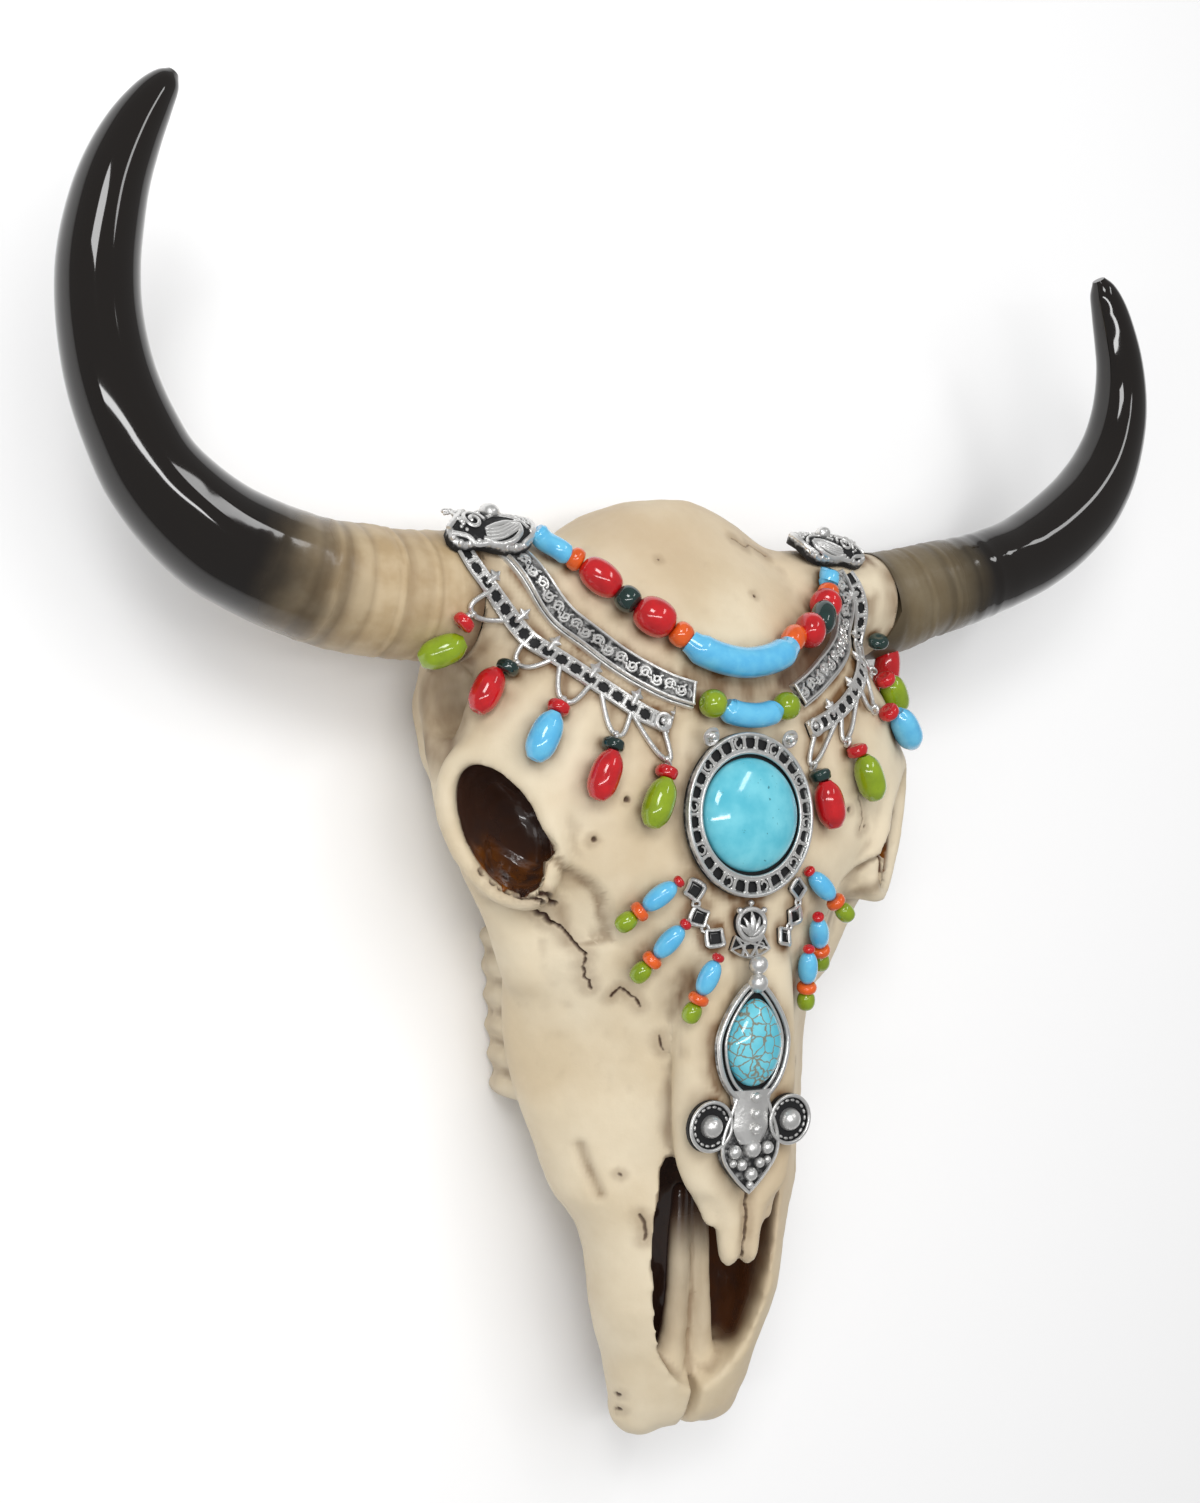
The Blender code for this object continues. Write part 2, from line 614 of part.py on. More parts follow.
def seat(obj, ground, direction, step=0.15):
    """Lift a mesh off the ground until it is just clear of it."""
    shift = direction.normalized() * step * MM
    while ground.touches(obj):
        obj.data.transform(Matrix.Translation(shift))
    obj.data.transform(Matrix.Translation(direction.normalized() * GAP))


def finish(obj, material):
    """Give the object its material and smooth shading."""
    obj.data.materials.clear()
    obj.data.materials.append(material)
    obj.data.shade_smooth()


def frame_along(direction, normal):
    """Axes with local Y along a direction laid flat on a surface, and local Z off it."""
    along = (direction - normal * direction.dot(normal)).normalized()
    across = along.cross(normal)
    return Matrix((across, along, normal)).transposed().to_4x4()


def add_bead(kit, name, place, towards, half, radius, colour):
    """An oval bead lying on the ground at place, its hole pointing along towards."""
    point, _ = kit.ground.hit(*place)
    normal = kit.ground.even_normal(*place)
    turn = frame_along(Vector((*towards, 0)), normal)
    shape = bmesh.new()
    bmesh.ops.create_uvsphere(shape, u_segments=8, v_segments=5, radius=1.0)
    upright = Matrix.Rotation(math.radians(90), 4, "X")
    size = Matrix.Diagonal((radius * MM, half * MM, radius * MM, 1))
    centre = Matrix.Translation(point + normal * radius * 0.85 * MM)
    bmesh.ops.transform(shape, matrix=centre @ turn @ size @ upright, verts=shape.verts)
    bead = add_object(name, shape, kit.parts)
    seat(bead, kit.ground, normal)
    finish(bead, kit.materials[colour])


def add_tube(kit, name, route, radius, colour):
    """A bent round bead along a route on the ground, narrower at its ends."""
    run = []
    for i, place in enumerate(route):
        x, y, z = kit.ground.hit(*place)[0] / MM
        size = radius * (TUBE_END if i in (0, len(route) - 1) else 1.0)
        run.append((x, y, z + radius, size))
    tube = add_object(name, rod_shape(run, 2, kit.cutters), kit.parts)
    seat(tube, kit.ground, Vector((0, 0, 1)))
    finish(tube, kit.materials[colour])


def ribbon_shape(kit, route, widths, thickness):
    """A flat strip that follows the ground along a route."""
    rings = []
    for i, place in enumerate(route):
        normal = kit.ground.even_normal(*place)
        before, after = route[max(i - 1, 0)], route[min(i + 1, len(route) - 1)]
        ahead = Vector((after[0] - before[0], after[1] - before[1])).normalized()
        across = Vector((ahead.y, -ahead.x)) * widths[i] / 2
        left, right = (Vector(place) + sign * across for sign in (-1, 1))
        lower = [kit.ground.hit(*spot)[0] for spot in (left, right)]
        up = normal * thickness * MM
        rings.append([lower[0], lower[1], lower[1] + up, lower[0] + up])
    return rings_to_shape(rings)


def even_route(route, spacing):
    """The route with evenly spaced points."""
    length = sum(math.dist(a, b) for a, b in zip(route, route[1:]))
    count = max(2, round(length / spacing))
    return [point_along(route, i / count) for i in range(count + 1)]


def fuse(obj, other):
    """Join a helper into the object and remove it."""
    union = obj.modifiers.new("fuse", "BOOLEAN")
    union.operation = "UNION"
    union.object = other
    bake(obj)
    bpy.data.objects.remove(other)


def add_band(kit, side):
    """An openwork band's strip with the wire loops under it."""
    route = even_route(BAND_ROUTES[side], 5.0)
    shape = ribbon_shape(kit, route, [BAND_WIDTH] * len(route), BAND_THICKNESS)
    band = add_object(f"band_{side}", shape, kit.parts)
    for start, end, low in BAND_LOOPS[side]:
        feet = [point_along(route, share) for share in (start, end)]
        run = []
        for t in (0.0, 0.25, 0.5, 0.75, 1.0):
            x = bend(feet[0][0], low[0], feet[1][0], t)
            y = bend(feet[0][1], low[1], feet[1][1], t)
            lift = kit.ground.even_normal(x, y) * BAND_THICKNESS / 2 * MM
            middle = kit.ground.hit(x, y)[0] + lift
            run.append((*(middle / MM), WIRE_RADIUS))
        fuse(band, add_object("wire", rod_shape(run, 1, kit.cutters), kit.cutters))
    seat(band, kit.ground, Vector((0, 0, 1)))
    finish(band, kit.materials["silver"])


def rod_shape(run, resolution, collection):
    """A round rod with filled ends along a run of (x, y, z, radius), from a bevelled curve."""
    data = bpy.data.curves.new("rod", "CURVE")
    data.dimensions = "3D"
    data.bevel_depth = MM
    data.bevel_resolution = resolution
    data.use_fill_caps = True
    spline = data.splines.new("POLY")
    spline.points.add(len(run) - 1)
    for point, (x, y, z, radius) in zip(spline.points, run):
        point.co = (x * MM, y * MM, z * MM, 1.0)
        point.radius = radius
    curve = bpy.data.objects.new("rod", data)
    collection.objects.link(curve)
    bpy.context.view_layer.update()
    graph = bpy.context.evaluated_depsgraph_get()
    mesh = bpy.data.meshes.new_from_object(curve.evaluated_get(graph))
    bpy.data.objects.remove(curve)
    shape = bmesh.new()
    shape.from_mesh(mesh)
    bmesh.ops.remove_doubles(shape, verts=shape.verts, dist=0.001 * MM)
    return shape


def bend(start, low, end, t):
    """A curve from start to end that passes through low half way."""
    middle = 2 * low - (start + end) / 2
    return (1 - t) ** 2 * start + 2 * t * (1 - t) * middle + t**2 * end


def point_along(route, share):
    """The point at a share of the route's length."""
    lengths = [math.dist(a, b) for a, b in zip(route, route[1:])]
    left = share * sum(lengths)
    for (a, b), length in zip(zip(route, route[1:]), lengths):
        if left <= length:
            t = left / length
            return (a[0] + (b[0] - a[0]) * t, a[1] + (b[1] - a[1]) * t)
        left -= length
    return route[-1]


def add_clasp(kit, side):
    """A plate bent round the top of a horn's root."""
    (x0, x1), (a0, a1), y, z, radius = CLASPS[side]
    columns, rows = 6, 5
    rings = []
    for i in range(columns + 1):
        x = x0 + (x1 - x0) * i / columns
        narrow = 1 - 0.35 * abs(2 * i / columns - 1) ** 2
        middle, reach = (a0 + a1) / 2, (a1 - a0) / 2 * narrow
        angles = [math.radians(middle + reach * (2 * k / rows - 1)) for k in range(rows + 1)]
        inner = [(radius, a) for a in angles]
        swell = [CLASP_BULGE * narrow * math.sin(math.pi * k / 6) for k in range(rows + 1)]
        thick = [CLASP_THICKNESS + height for height in swell]
        outer = [(radius + t, a) for t, a in reversed(list(zip(thick, angles)))]
        places = [(x, y + r * math.sin(a), z + r * math.cos(a)) for r, a in inner + outer]
        rings.append([Vector(place) * MM for place in places])
    clasp = add_object(f"clasp_{side}", rings_to_shape(rings), kit.parts)
    seat(clasp, kit.ground, Vector((0, 0.7, 0.7)))
    finish(clasp, kit.materials["silver"])


def dish_shape(outline, rim, height, floor):
    """A flat dish with a raised rim, for an outline given as a function of an angle."""
    rings = []
    for inset, z in ((0, 0), (0, height), (rim, height), (rim, floor)):
        rings.append([Vector((*outline(math.tau * i / 28, inset), z)) * MM for i in range(28)])
    return rings_to_shape(rings)


def medallion_outline(angle, inset):
    """The medallion's oval, drawn in by inset."""
    half = [size - inset for size in MEDALLION_HALF]
    return half[0] * math.cos(angle), half[1] * math.sin(angle)


def tear_outline(angle, inset):
    """The pendant's teardrop, pointed towards the crown, drawn in by inset."""
    width, length = (size - inset for size in TEAR_HALF)
    up = math.sin(angle)
    return width * math.cos(angle) * (1 - 0.42 * max(up, 0) ** 1.5), TEAR_CENTRE_Y + length * up


def dome_shape(outline, height, rings=4):
    """A polished stone: a low dome over an outline."""
    count = DOME_SIDES
    rows = [[Vector((*outline(math.tau * i / count, 0), 0)) * MM for i in range(count)]]
    for k in range(rings):
        lift = math.sin(math.pi / 2 * k / rings)
        inset = 1 - math.cos(math.pi / 2 * k / rings)
        places = [outline(math.tau * i / count, inset) for i in range(count)]
        rows.append([Vector((x, y, 0.5 + lift * height)) * MM for x, y in places])
    return rings_to_shape(rows)


def oval(half_x, half_y, y=0.0, taper=0.0):
    """An outline function that shrinks towards its middle by a share."""
    def outline(angle, share):
        up = math.sin(angle)
        narrow = 1 - taper * max(up, 0) ** 1.5
        return (
            half_x * math.cos(angle) * narrow * (1 - share),
            y + half_y * up * (1 - share),
        )

    return outline


def add_medallion(kit):
    """The oval frame with its two loops, and the stone in it."""
    frame = add_object(
        "medallion_frame",
        dish_shape(medallion_outline, MEDALLION_RIM, MEDALLION_HEIGHT, MEDALLION_FLOOR),
        kit.parts,
    )
    for side in (1, -1):
        post = bmesh.new()
        bmesh.ops.create_cone(
            post, cap_ends=True, segments=7, radius1=2.2 * MM, radius2=2.2 * MM, depth=2.6 * MM
        )
        place = Vector((side * LOOP_PLACE[0], LOOP_PLACE[1] - 2.6, 1.9)) * MM
        bmesh.ops.translate(post, vec=place, verts=post.verts)
        fuse(frame, add_object("loop", post, kit.cutters))
    lift_to(kit, frame, (0, 0))
    finish(frame, kit.materials["silver"])
    stone = add_object(
        "cabochon", dome_shape(oval(*STONE_HALF[:2]), STONE_HALF[2]), kit.parts
    )
    low = min(vert.co.z for vert in frame.data.vertices)
    stone.data.transform(Matrix.Translation((0, 0, low + MEDALLION_FLOOR * MM + GAP)))
    finish(stone, kit.materials["turquoise"])


def lift_to(kit, obj, place):
    """Raise a piece modelled on z = 0 to the ground at place and seat it."""
    obj.data.transform(Matrix.Translation((0, 0, kit.ground.hit(*place)[0].z)))
    seat(obj, kit.ground, Vector((0, 0, 1)))


def add_pendant(kit):
    """The teardrop rim, its balls and its fleur-de-lis, and the stone."""
    frame = add_object(
        "pendant_frame", dish_shape(tear_outline, TEAR_RIM, PENDANT_THICKNESS, 0.9), kit.parts
    )
    half = [(x, y) for x, y in FLEUR_OUTLINE]
    outline = half + [(-x, y) for x, y in reversed(half[:-1])]
    plate = [[Vector((x, y, z)) * MM for x, y in outline] for z in (0.0, PENDANT_THICKNESS + 0.4)]
    fuse(frame, add_object("plate", rings_to_shape(plate), kit.cutters))
    x, y, radius = FLEUR_LOBE
    for side in (1, -1):
        lobe = bmesh.new()
        bmesh.ops.create_cone(
            lobe, cap_ends=True, segments=11, radius1=radius * MM, radius2=radius * 0.85 * MM,
            depth=(PENDANT_THICKNESS + 0.2) * MM,
        )
        place = Vector((side * x, y, PENDANT_THICKNESS / 2 + 0.1)) * MM
        bmesh.ops.translate(lobe, vec=place, verts=lobe.verts)
        fuse(frame, add_object("lobe", lobe, kit.cutters))
    for x, y, radius in BALLS:
        ball = bmesh.new()
        bmesh.ops.create_uvsphere(ball, u_segments=8, v_segments=6, radius=radius * MM)
        bmesh.ops.translate(ball, vec=Vector((x, y, radius * 0.9)) * MM, verts=ball.verts)
        fuse(frame, add_object("ball", ball, kit.cutters))
    stone_shape = dome_shape(oval(*TEAR_STONE_HALF[:2], TEAR_CENTRE_Y, 0.3), TEAR_STONE_HALF[2])
    stone = add_object("teardrop_stone", stone_shape, kit.parts)
    stone.data.transform(Matrix.Translation((0, 0, 0.9 * MM + GAP)))
    near, far = kit.ground.hit(0, -44)[0].z, kit.ground.hit(4, -96)[0].z
    slope = (near - far) / (52 * MM)
    lean = Matrix.Identity(4)
    lean[2][1] = slope
    lean[0][1] = PENDANT_SLANT
    for obj in (frame, stone):
        top = Vector((44 * MM * PENDANT_SLANT, 0, near + 44 * MM * slope))
        obj.data.transform(Matrix.Translation(top) @ lean)
    low = min(vert.co.z for vert in frame.data.vertices)
    seat(frame, kit.ground, Vector((0, 0, 1)))
    rise = min(vert.co.z for vert in frame.data.vertices) - low
    stone.data.transform(Matrix.Translation((0, 0, rise)))
    finish(frame, kit.materials["silver"])
    finish(stone, kit.materials["turquoise"])


def add_drop(kit, name, ends):
    """A run of four small beads as one turned form."""
    (x0, y0), (x1, y1) = ends
    start, end = kit.ground.hit(x0, y0)[0], kit.ground.hit(x1, y1)[0]
    normal = kit.ground.even_normal((x0 + x1) / 2, (y0 + y1) / 2)
    along = end - start
    turn = frame_along(along, Vector((0, 0, 1)) if normal.z > 0.9 else normal)
    length = along.length
    rings = []
    for share, radius in DROP_PROFILE:
        angles = [math.tau * k / 7 for k in range(7)]
        offsets = [Vector((math.cos(a), 0, math.sin(a))) * radius * MM for a in angles]
        middle = Vector((0, share * length, MM))
        rings.append([start + turn @ (middle + offset) for offset in offsets])
    drop = add_object(name, rings_to_shape(rings), kit.parts)
    seat(drop, kit.ground, normal)
    finish(drop, kit.materials["blue"])


class Kit:
    """What the builders of small pieces share: collections, materials and the ground."""

    def __init__(self, parts, cutters, materials):
        """Start without a ground, which needs the bone and the horns."""
        self.parts = parts
        self.cutters = cutters
        self.materials = materials
        self.ground = None


def build_horn(kit, side):
    """A horn: a tapering round loft from its seat to its tip."""
    shape = rod_shape(HORN_RUNS[side], HORN_RESOLUTION, kit.cutters)
    horn = add_object(f"horn_{side}", shape, kit.parts)
    finish(horn, kit.materials["horn"])
    return horn


def build_jewellery(kit):
    """Every silver piece, stone and bead."""
    for side in ("left", "right"):
        add_clasp(kit, side)
        route = BAR_ROUTES[side]
        shape = ribbon_shape(kit, route, [BAR_WIDTH] * len(route), BAR_THICKNESS)
        bar = add_object(f"bar_{side}", shape, kit.parts)
        seat(bar, kit.ground, Vector((0, 0, 1)))
        finish(bar, kit.materials["silver"])
        add_band(kit, side)
        shape = ribbon_shape(kit, LINK_STRIPS[side], LINK_WIDTHS, 1.6)
        strip = add_object(f"link_strip_{side}", shape, kit.parts)
        seat(strip, kit.ground, Vector((0, 0, 1)))
        finish(strip, kit.materials["silver"])
    add_medallion(kit)
    add_pendant(kit)
    x, y, half_x, half_y, height = LOTUS
    lotus = add_object("lotus_link", dome_shape(oval(half_x, half_y), height, 3), kit.parts)
    lotus.data.transform(Matrix.Translation(Vector((x, y, 0)) * MM))
    lift_to(kit, lotus, (x, y))
    finish(lotus, kit.materials["silver"])
    net = add_object("v_link", ribbon_shape(kit, V_ROUTE, [2.6] * len(V_ROUTE), 1.6), kit.parts)
    seat(net, kit.ground, Vector((0, 0, 1)))
    finish(net, kit.materials["silver"])
    for beads in (STRAND[:5], STRAND[5:], SECOND):
        for i, (name, x, y, half, radius, colour) in enumerate(beads):
            other = beads[i + 1] if i + 1 < len(beads) else beads[i - 1]
            add_bead(kit, name, (x, y), (other[1] - x, other[2] - y), half, radius, colour)
    for name, route, radius in (*STRAND_TUBES, SECOND_TUBE):
        add_tube(kit, name, route, radius, "blue")
    for name, (cap, bead, cap_colour, bead_colour) in DANGLES.items():
        towards = (bead[0] - cap[0], bead[1] - cap[1])
        add_bead(kit, f"cap_{name}", cap, towards, CAP_HALF, CAP_RADIUS, cap_colour)
        add_bead(kit, f"dangle_{name}", bead, towards, DANGLE_HALF, DANGLE_RADIUS, bead_colour)
    for name, ends in DROPS.items():
        add_drop(kit, f"drop_{name}", ends)


def main():
    """Build every piece."""
    clear_scene()
    parts = make_collection("decorated_cow_skull")
    cutters = make_collection("cutters")
    cutters.hide_render = True
    materials = {name: make_material(name, *look) for name, look in COLOURS.items()}
    kit = Kit(parts, cutters, materials)
    skull = build_skull(parts, cutters, materials["bone"])
    horns = [build_horn(kit, side) for side in HORN_RUNS]
    kit.ground = Ground(skull, *horns)
    build_jewellery(kit)


main()
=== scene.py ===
"""The finished look of a decorated cow skull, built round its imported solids.

The skull lies on its back on z = 0: +X runs across the horns, +Y from the muzzle to the
crown and +Z out of the face. Sizes are in millimetres until a mesh is made.
"""

import logging
import math
from dataclasses import dataclass
from enum import Enum
from typing import Any, Callable, ClassVar, Sequence

import bmesh
import bpy
import numpy as np
from mathutils import Matrix, Vector
from mathutils.bvhtree import BVHTree


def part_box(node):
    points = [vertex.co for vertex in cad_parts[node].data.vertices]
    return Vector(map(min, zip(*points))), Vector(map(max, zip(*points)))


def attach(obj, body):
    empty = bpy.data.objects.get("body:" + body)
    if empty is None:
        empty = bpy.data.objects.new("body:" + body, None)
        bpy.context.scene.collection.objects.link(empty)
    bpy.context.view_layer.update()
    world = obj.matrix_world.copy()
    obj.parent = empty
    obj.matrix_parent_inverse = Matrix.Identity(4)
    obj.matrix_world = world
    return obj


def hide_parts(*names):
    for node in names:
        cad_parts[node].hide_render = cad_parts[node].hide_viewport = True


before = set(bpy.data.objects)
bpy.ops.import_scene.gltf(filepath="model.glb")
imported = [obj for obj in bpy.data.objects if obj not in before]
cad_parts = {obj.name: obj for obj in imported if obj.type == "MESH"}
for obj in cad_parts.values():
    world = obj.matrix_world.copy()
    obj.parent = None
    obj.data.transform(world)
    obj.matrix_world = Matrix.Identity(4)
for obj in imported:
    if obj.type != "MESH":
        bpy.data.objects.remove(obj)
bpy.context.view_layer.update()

MM = 0.001
LOG = logging.getLogger("skull")

Run = Sequence[Sequence[float]]
Shape = tuple[np.ndarray, list]


class Value:
    """A socket of a node tree that stands in a Python expression."""

    def __init__(self, graph: "Graph", socket: bpy.types.NodeSocket) -> None:
        """Keep the tree and the socket."""
        self.graph = graph
        self.socket = socket

    def __add__(self, other: Any) -> "Value":
        """The sum."""
        return self.graph.maths("ADD", self, other)

    def __sub__(self, other: Any) -> "Value":
        """The difference."""
        return self.graph.maths("SUBTRACT", self, other)

    def __rsub__(self, other: Any) -> "Value":
        """The difference, taken from a number."""
        return self.graph.maths("SUBTRACT", other, self)

    def __mul__(self, other: Any) -> "Value":
        """The product."""
        return self.graph.maths("MULTIPLY", self, other)

    __radd__ = __add__
    __rmul__ = __mul__


class Graph:
    """A node tree and the one method that adds any node to it."""

    def __init__(self, tree: bpy.types.NodeTree) -> None:
        """Keep the tree."""
        self.tree = tree

    def add(
        self, kind: str, inputs: dict | None = None, output: int | str = 0, **settings: Any
    ) -> Value:
        """Add a node.

        Args:
            kind: the node's type.
            inputs: values or links by socket name or number.
            output: the output that is returned.
            settings: the node's own settings, with stops for a colour ramp.

        Returns:
            The chosen output.
        """
        node = self.tree.nodes.new(kind)
        stops = settings.pop("stops", None)
        for key, setting in settings.items():
            setattr(node, key, setting)
        if stops:
            elements = node.color_ramp.elements
            while len(elements) < len(stops):
                elements.new(0.5)
            for element, (place, colour) in zip(elements, stops):
                element.position = place
                element.color = (*colour, 1.0)
        for key, given in (inputs or {}).items():
            if isinstance(given, Value):
                self.tree.links.new(given.socket, node.inputs[key])
            else:
                node.inputs[key].default_value = given
        return Value(self, node.outputs[output])

    def maths(self, operation: str, first: Any, second: Any, clamp: bool = False) -> Value:
        """A Math node on two values."""
        inputs = {0: first, 1: second}
        return self.add("ShaderNodeMath", inputs, operation=operation, use_clamp=clamp)

    def mix(self, share: Any, first: Any, second: Any) -> Value:
        """A blend of two colours by a share."""
        colours = [c if isinstance(c, Value) else (*c, 1.0) for c in (first, second)]
        inputs = {0: share, 6: colours[0], 7: colours[1]}
        return self.add("ShaderNodeMix", inputs, 2, data_type="RGBA")

    def ramp(self, value: Value, low: float, high: float, first: float = 0.0, last: float = 1.0) -> Value:
        """A smooth step from low to high."""
        inputs = {0: value, 1: low, 2: high, 3: first, 4: last}
        return self.add("ShaderNodeMapRange", inputs, interpolation_type="SMOOTHSTEP")

    def noise(self, scale: float, detail: float = 3.0, stretch: Sequence[float] = (1, 1, 1)) -> Value:
        """Cloudy noise on the object's own coordinates."""
        place = self.add("ShaderNodeTexCoord", output="Object")
        place = self.add("ShaderNodeMapping", {"Vector": place, "Scale": tuple(stretch)})
        inputs = {"Vector": place, "Scale": scale, "Detail": detail}
        return self.add("ShaderNodeTexNoise", inputs)

    def attribute(self, name: str) -> Value:
        """A number kept at each point of the mesh."""
        return self.add("ShaderNodeAttribute", output="Fac", attribute_name=name)


def new_material(name: str, constants: dict[str, float]) -> tuple[bpy.types.Material, Graph, Any]:
    """A Principled material with its constant values set.

    Args:
        name: the material's name.
        constants: values by socket name.

    Returns:
        The material, its graph and the shader node.
    """
    material = bpy.data.materials.new(name)
    material.use_nodes = True
    shader = material.node_tree.nodes["Principled BSDF"]
    for key, value in constants.items():
        shader.inputs[key].default_value = value
    return material, Graph(material.node_tree), shader


def feed(graph: Graph, shader: Any, links: dict[str, Value], bump: Value | None = None,
         strength: float = 0.3, distance: float = 0.0005) -> None:
    """Link values to the shader's sockets, and a height to its normal.

    Args:
        graph: the material's graph.
        shader: the shader node.
        links: values by socket name.
        bump: the height of the fine surface.
        strength: the bump's strength.
        distance: the bump's depth in metres.
    """
    for key, value in links.items():
        graph.tree.links.new(value.socket, shader.inputs[key])
    if bump:
        inputs = {"Height": bump, "Strength": strength, "Distance": distance}
        normal = graph.add("ShaderNodeBump", inputs)
        graph.tree.links.new(normal.socket, shader.inputs["Normal"])


@dataclass(frozen=True)
class BoneFinish:
    """Cream bone with a brown wash and painted shade, dark cracks and glossy brown hollows."""

    pale: tuple = (0.75, 0.655, 0.49)
    tan: tuple = (0.56, 0.44, 0.275)
    blush: tuple = (0.42, 0.26, 0.14)
    wash_and_shade: tuple = (0.15, 0.075, 0.028)
    crack_and_shadow: tuple = (0.045, 0.016, 0.008)
    hollow: tuple = (0.038, 0.023, 0.020)
    brown: tuple = (0.075, 0.026, 0.010)
    amber: tuple = (0.20, 0.060, 0.006)

    def material(self) -> bpy.types.Material:
        """Make the material."""
        material, graph, shader = new_material("bone", {"Roughness": 0.5, "IOR": 1.45})
        clouds = graph.ramp(graph.noise(24.0, 4.0), 0.34, 0.68)
        grain = graph.noise(420.0, 3.0)
        streaks = graph.noise(60.0, 3.0, (3.0, 0.8, 2.0))
        colour = graph.mix(clouds * 0.62 + grain * 0.14, self.pale, self.tan)
        blush = graph.ramp(graph.noise(11.0, 3.0), 0.48, 0.72)
        colour = graph.mix(blush * 0.3, colour, self.blush)
        # Brown wash together with painted shade, kept at each point and streaked by noise.
        wash_and_shade = graph.attribute("wash_and_shade")
        worn = graph.maths("MULTIPLY", wash_and_shade, graph.ramp(streaks, 0.25, 0.7, 0.65, 1.15), True)
        colour = graph.mix(worn, colour, self.wash_and_shade)
        # The crack colour also paints the darkest painted shadow, beside the right bar.
        crack_and_shadow = graph.attribute("crack_and_shadow")
        colour = graph.mix(crack_and_shadow, colour, self.crack_and_shadow)
        amber = graph.maths("MULTIPLY", graph.attribute("amber"),
                            graph.ramp(graph.noise(170.0, 4.0), 0.38, 0.62), True)
        gloss = graph.attribute("gloss")
        wet = graph.noise(210.0, 3.0)
        brown = graph.maths("MULTIPLY", graph.attribute("brown"), graph.ramp(wet, 0.3, 0.6, 0.6, 1.0))
        deep = graph.mix(amber, graph.mix(brown, self.hollow, self.brown), self.amber)
        colour = graph.mix(gloss, colour, deep)
        rough = (0.46 + grain * 0.16) * (1.0 - gloss) + gloss * (0.17 + wet * 0.1)
        height = grain * 0.35 + graph.noise(1400.0, 2.0) * 0.15 + streaks * 0.2 + gloss * wet * 1.6
        links = {"Base Color": colour, "Roughness": rough, "Coat Weight": gloss * 0.8}
        feed(graph, shader, links, height * (1.0 - gloss * 0.5), 0.28, 0.0006)
        return material


@dataclass(frozen=True)
class HornFinish:
    """Glossy black horn over a tan root with growth rings, the right root darkened with painted shade."""

    root: tuple = (0.56, 0.44, 0.28)
    worn: tuple = (0.44, 0.32, 0.18)
    ring: tuple = (0.17, 0.10, 0.045)
    seam: tuple = (0.07, 0.03, 0.014)
    root_shade: tuple = (0.07, 0.058, 0.034)
    black: tuple = (0.006, 0.004, 0.003)

    def material(self) -> bpy.types.Material:
        """Make the material."""
        constants = {"IOR": 1.4, "Coat Roughness": 0.04}
        material, graph, shader = new_material("horn", constants)
        along = graph.attribute("along")
        rings = graph.attribute("ring")
        cloud = graph.noise(45.0, 4.0)
        fade = graph.attribute("fade")
        wobble = along * fade + (cloud - 0.5) * 0.07
        colour = graph.mix(graph.ramp(graph.noise(120.0), 0.3, 0.7), self.root, self.worn)
        colour = graph.mix(rings * 0.8, colour, self.ring)
        seam = graph.ramp(along + (cloud - 0.5) * 0.03, 0.04, 0.012)
        colour = graph.mix(seam * 0.8, colour, self.seam)
        # Painted shade: a root whose fade is above 1, the right one, is darkened.
        colour = graph.mix((fade - 1.0) * 2.2, colour, self.root_shade)
        dark = graph.ramp(wobble + rings * 0.05, 0.13, 0.33)
        colour = graph.mix(dark, colour, self.black)
        rough = graph.ramp(wobble, 0.14, 0.34, 0.40, 0.06)
        coat = graph.ramp(wobble, 0.18, 0.34, 0.0, 0.6)
        height = graph.noise(500.0, 2.0) * (1.0 - dark)
        feed(graph, shader, {"Base Color": colour, "Roughness": rough, "Coat Weight": coat},
             height, 0.25, 0.0004)
        return material


@dataclass(frozen=True)
class SilverFinish:
    """Antique silver: bright raised edges over black recesses."""

    bright: tuple = (0.82, 0.815, 0.80)
    patina: tuple = (0.012, 0.012, 0.013)

    def material(self) -> bpy.types.Material:
        """Make the material."""
        material, graph, shader = new_material("antique_silver", {})
        relief = graph.attribute("relief")
        grit = graph.noise(900.0, 4.0)
        stain = graph.noise(260.0, 3.0)
        clean = graph.ramp(relief + (grit - 0.5) * 0.35 + (stain - 0.5) * 0.45, 0.34, 0.66)
        colour = graph.mix(clean, self.patina, self.bright)
        metal = clean * 0.6 + 0.25
        rough = 0.5 - clean * 0.22 + grit * 0.14
        links = {"Base Color": colour, "Roughness": rough, "Metallic": metal}
        feed(graph, shader, links, grit + stain * 0.6, 0.35, 0.0003)
        return material


@dataclass(frozen=True)
class EnamelFinish:
    """Glossy coloured glass or glazed bead."""

    name: str
    colour: tuple
    deep: tuple

    def material(self) -> bpy.types.Material:
        """Make the material."""
        constants = {"IOR": 1.52, "Coat Weight": 0.7, "Coat Roughness": 0.03}
        material, graph, shader = new_material(self.name, constants)
        cloud = graph.ramp(graph.noise(240.0, 4.0), 0.3, 0.75)
        speck = graph.ramp(graph.noise(900.0, 2.0), 0.62, 0.72)
        colour = graph.mix(cloud * 0.75 + speck * 0.25, self.colour, self.deep)
        rough = graph.noise(300.0, 2.0) * 0.14 + 0.06
        feed(graph, shader, {"Base Color": colour, "Roughness": rough}, cloud, 0.06, 0.0003)
        return material


class StoneKind(Enum):
    """The two turquoise stones."""

    PLAIN = "turquoise"
    VEINED = "veined_turquoise"


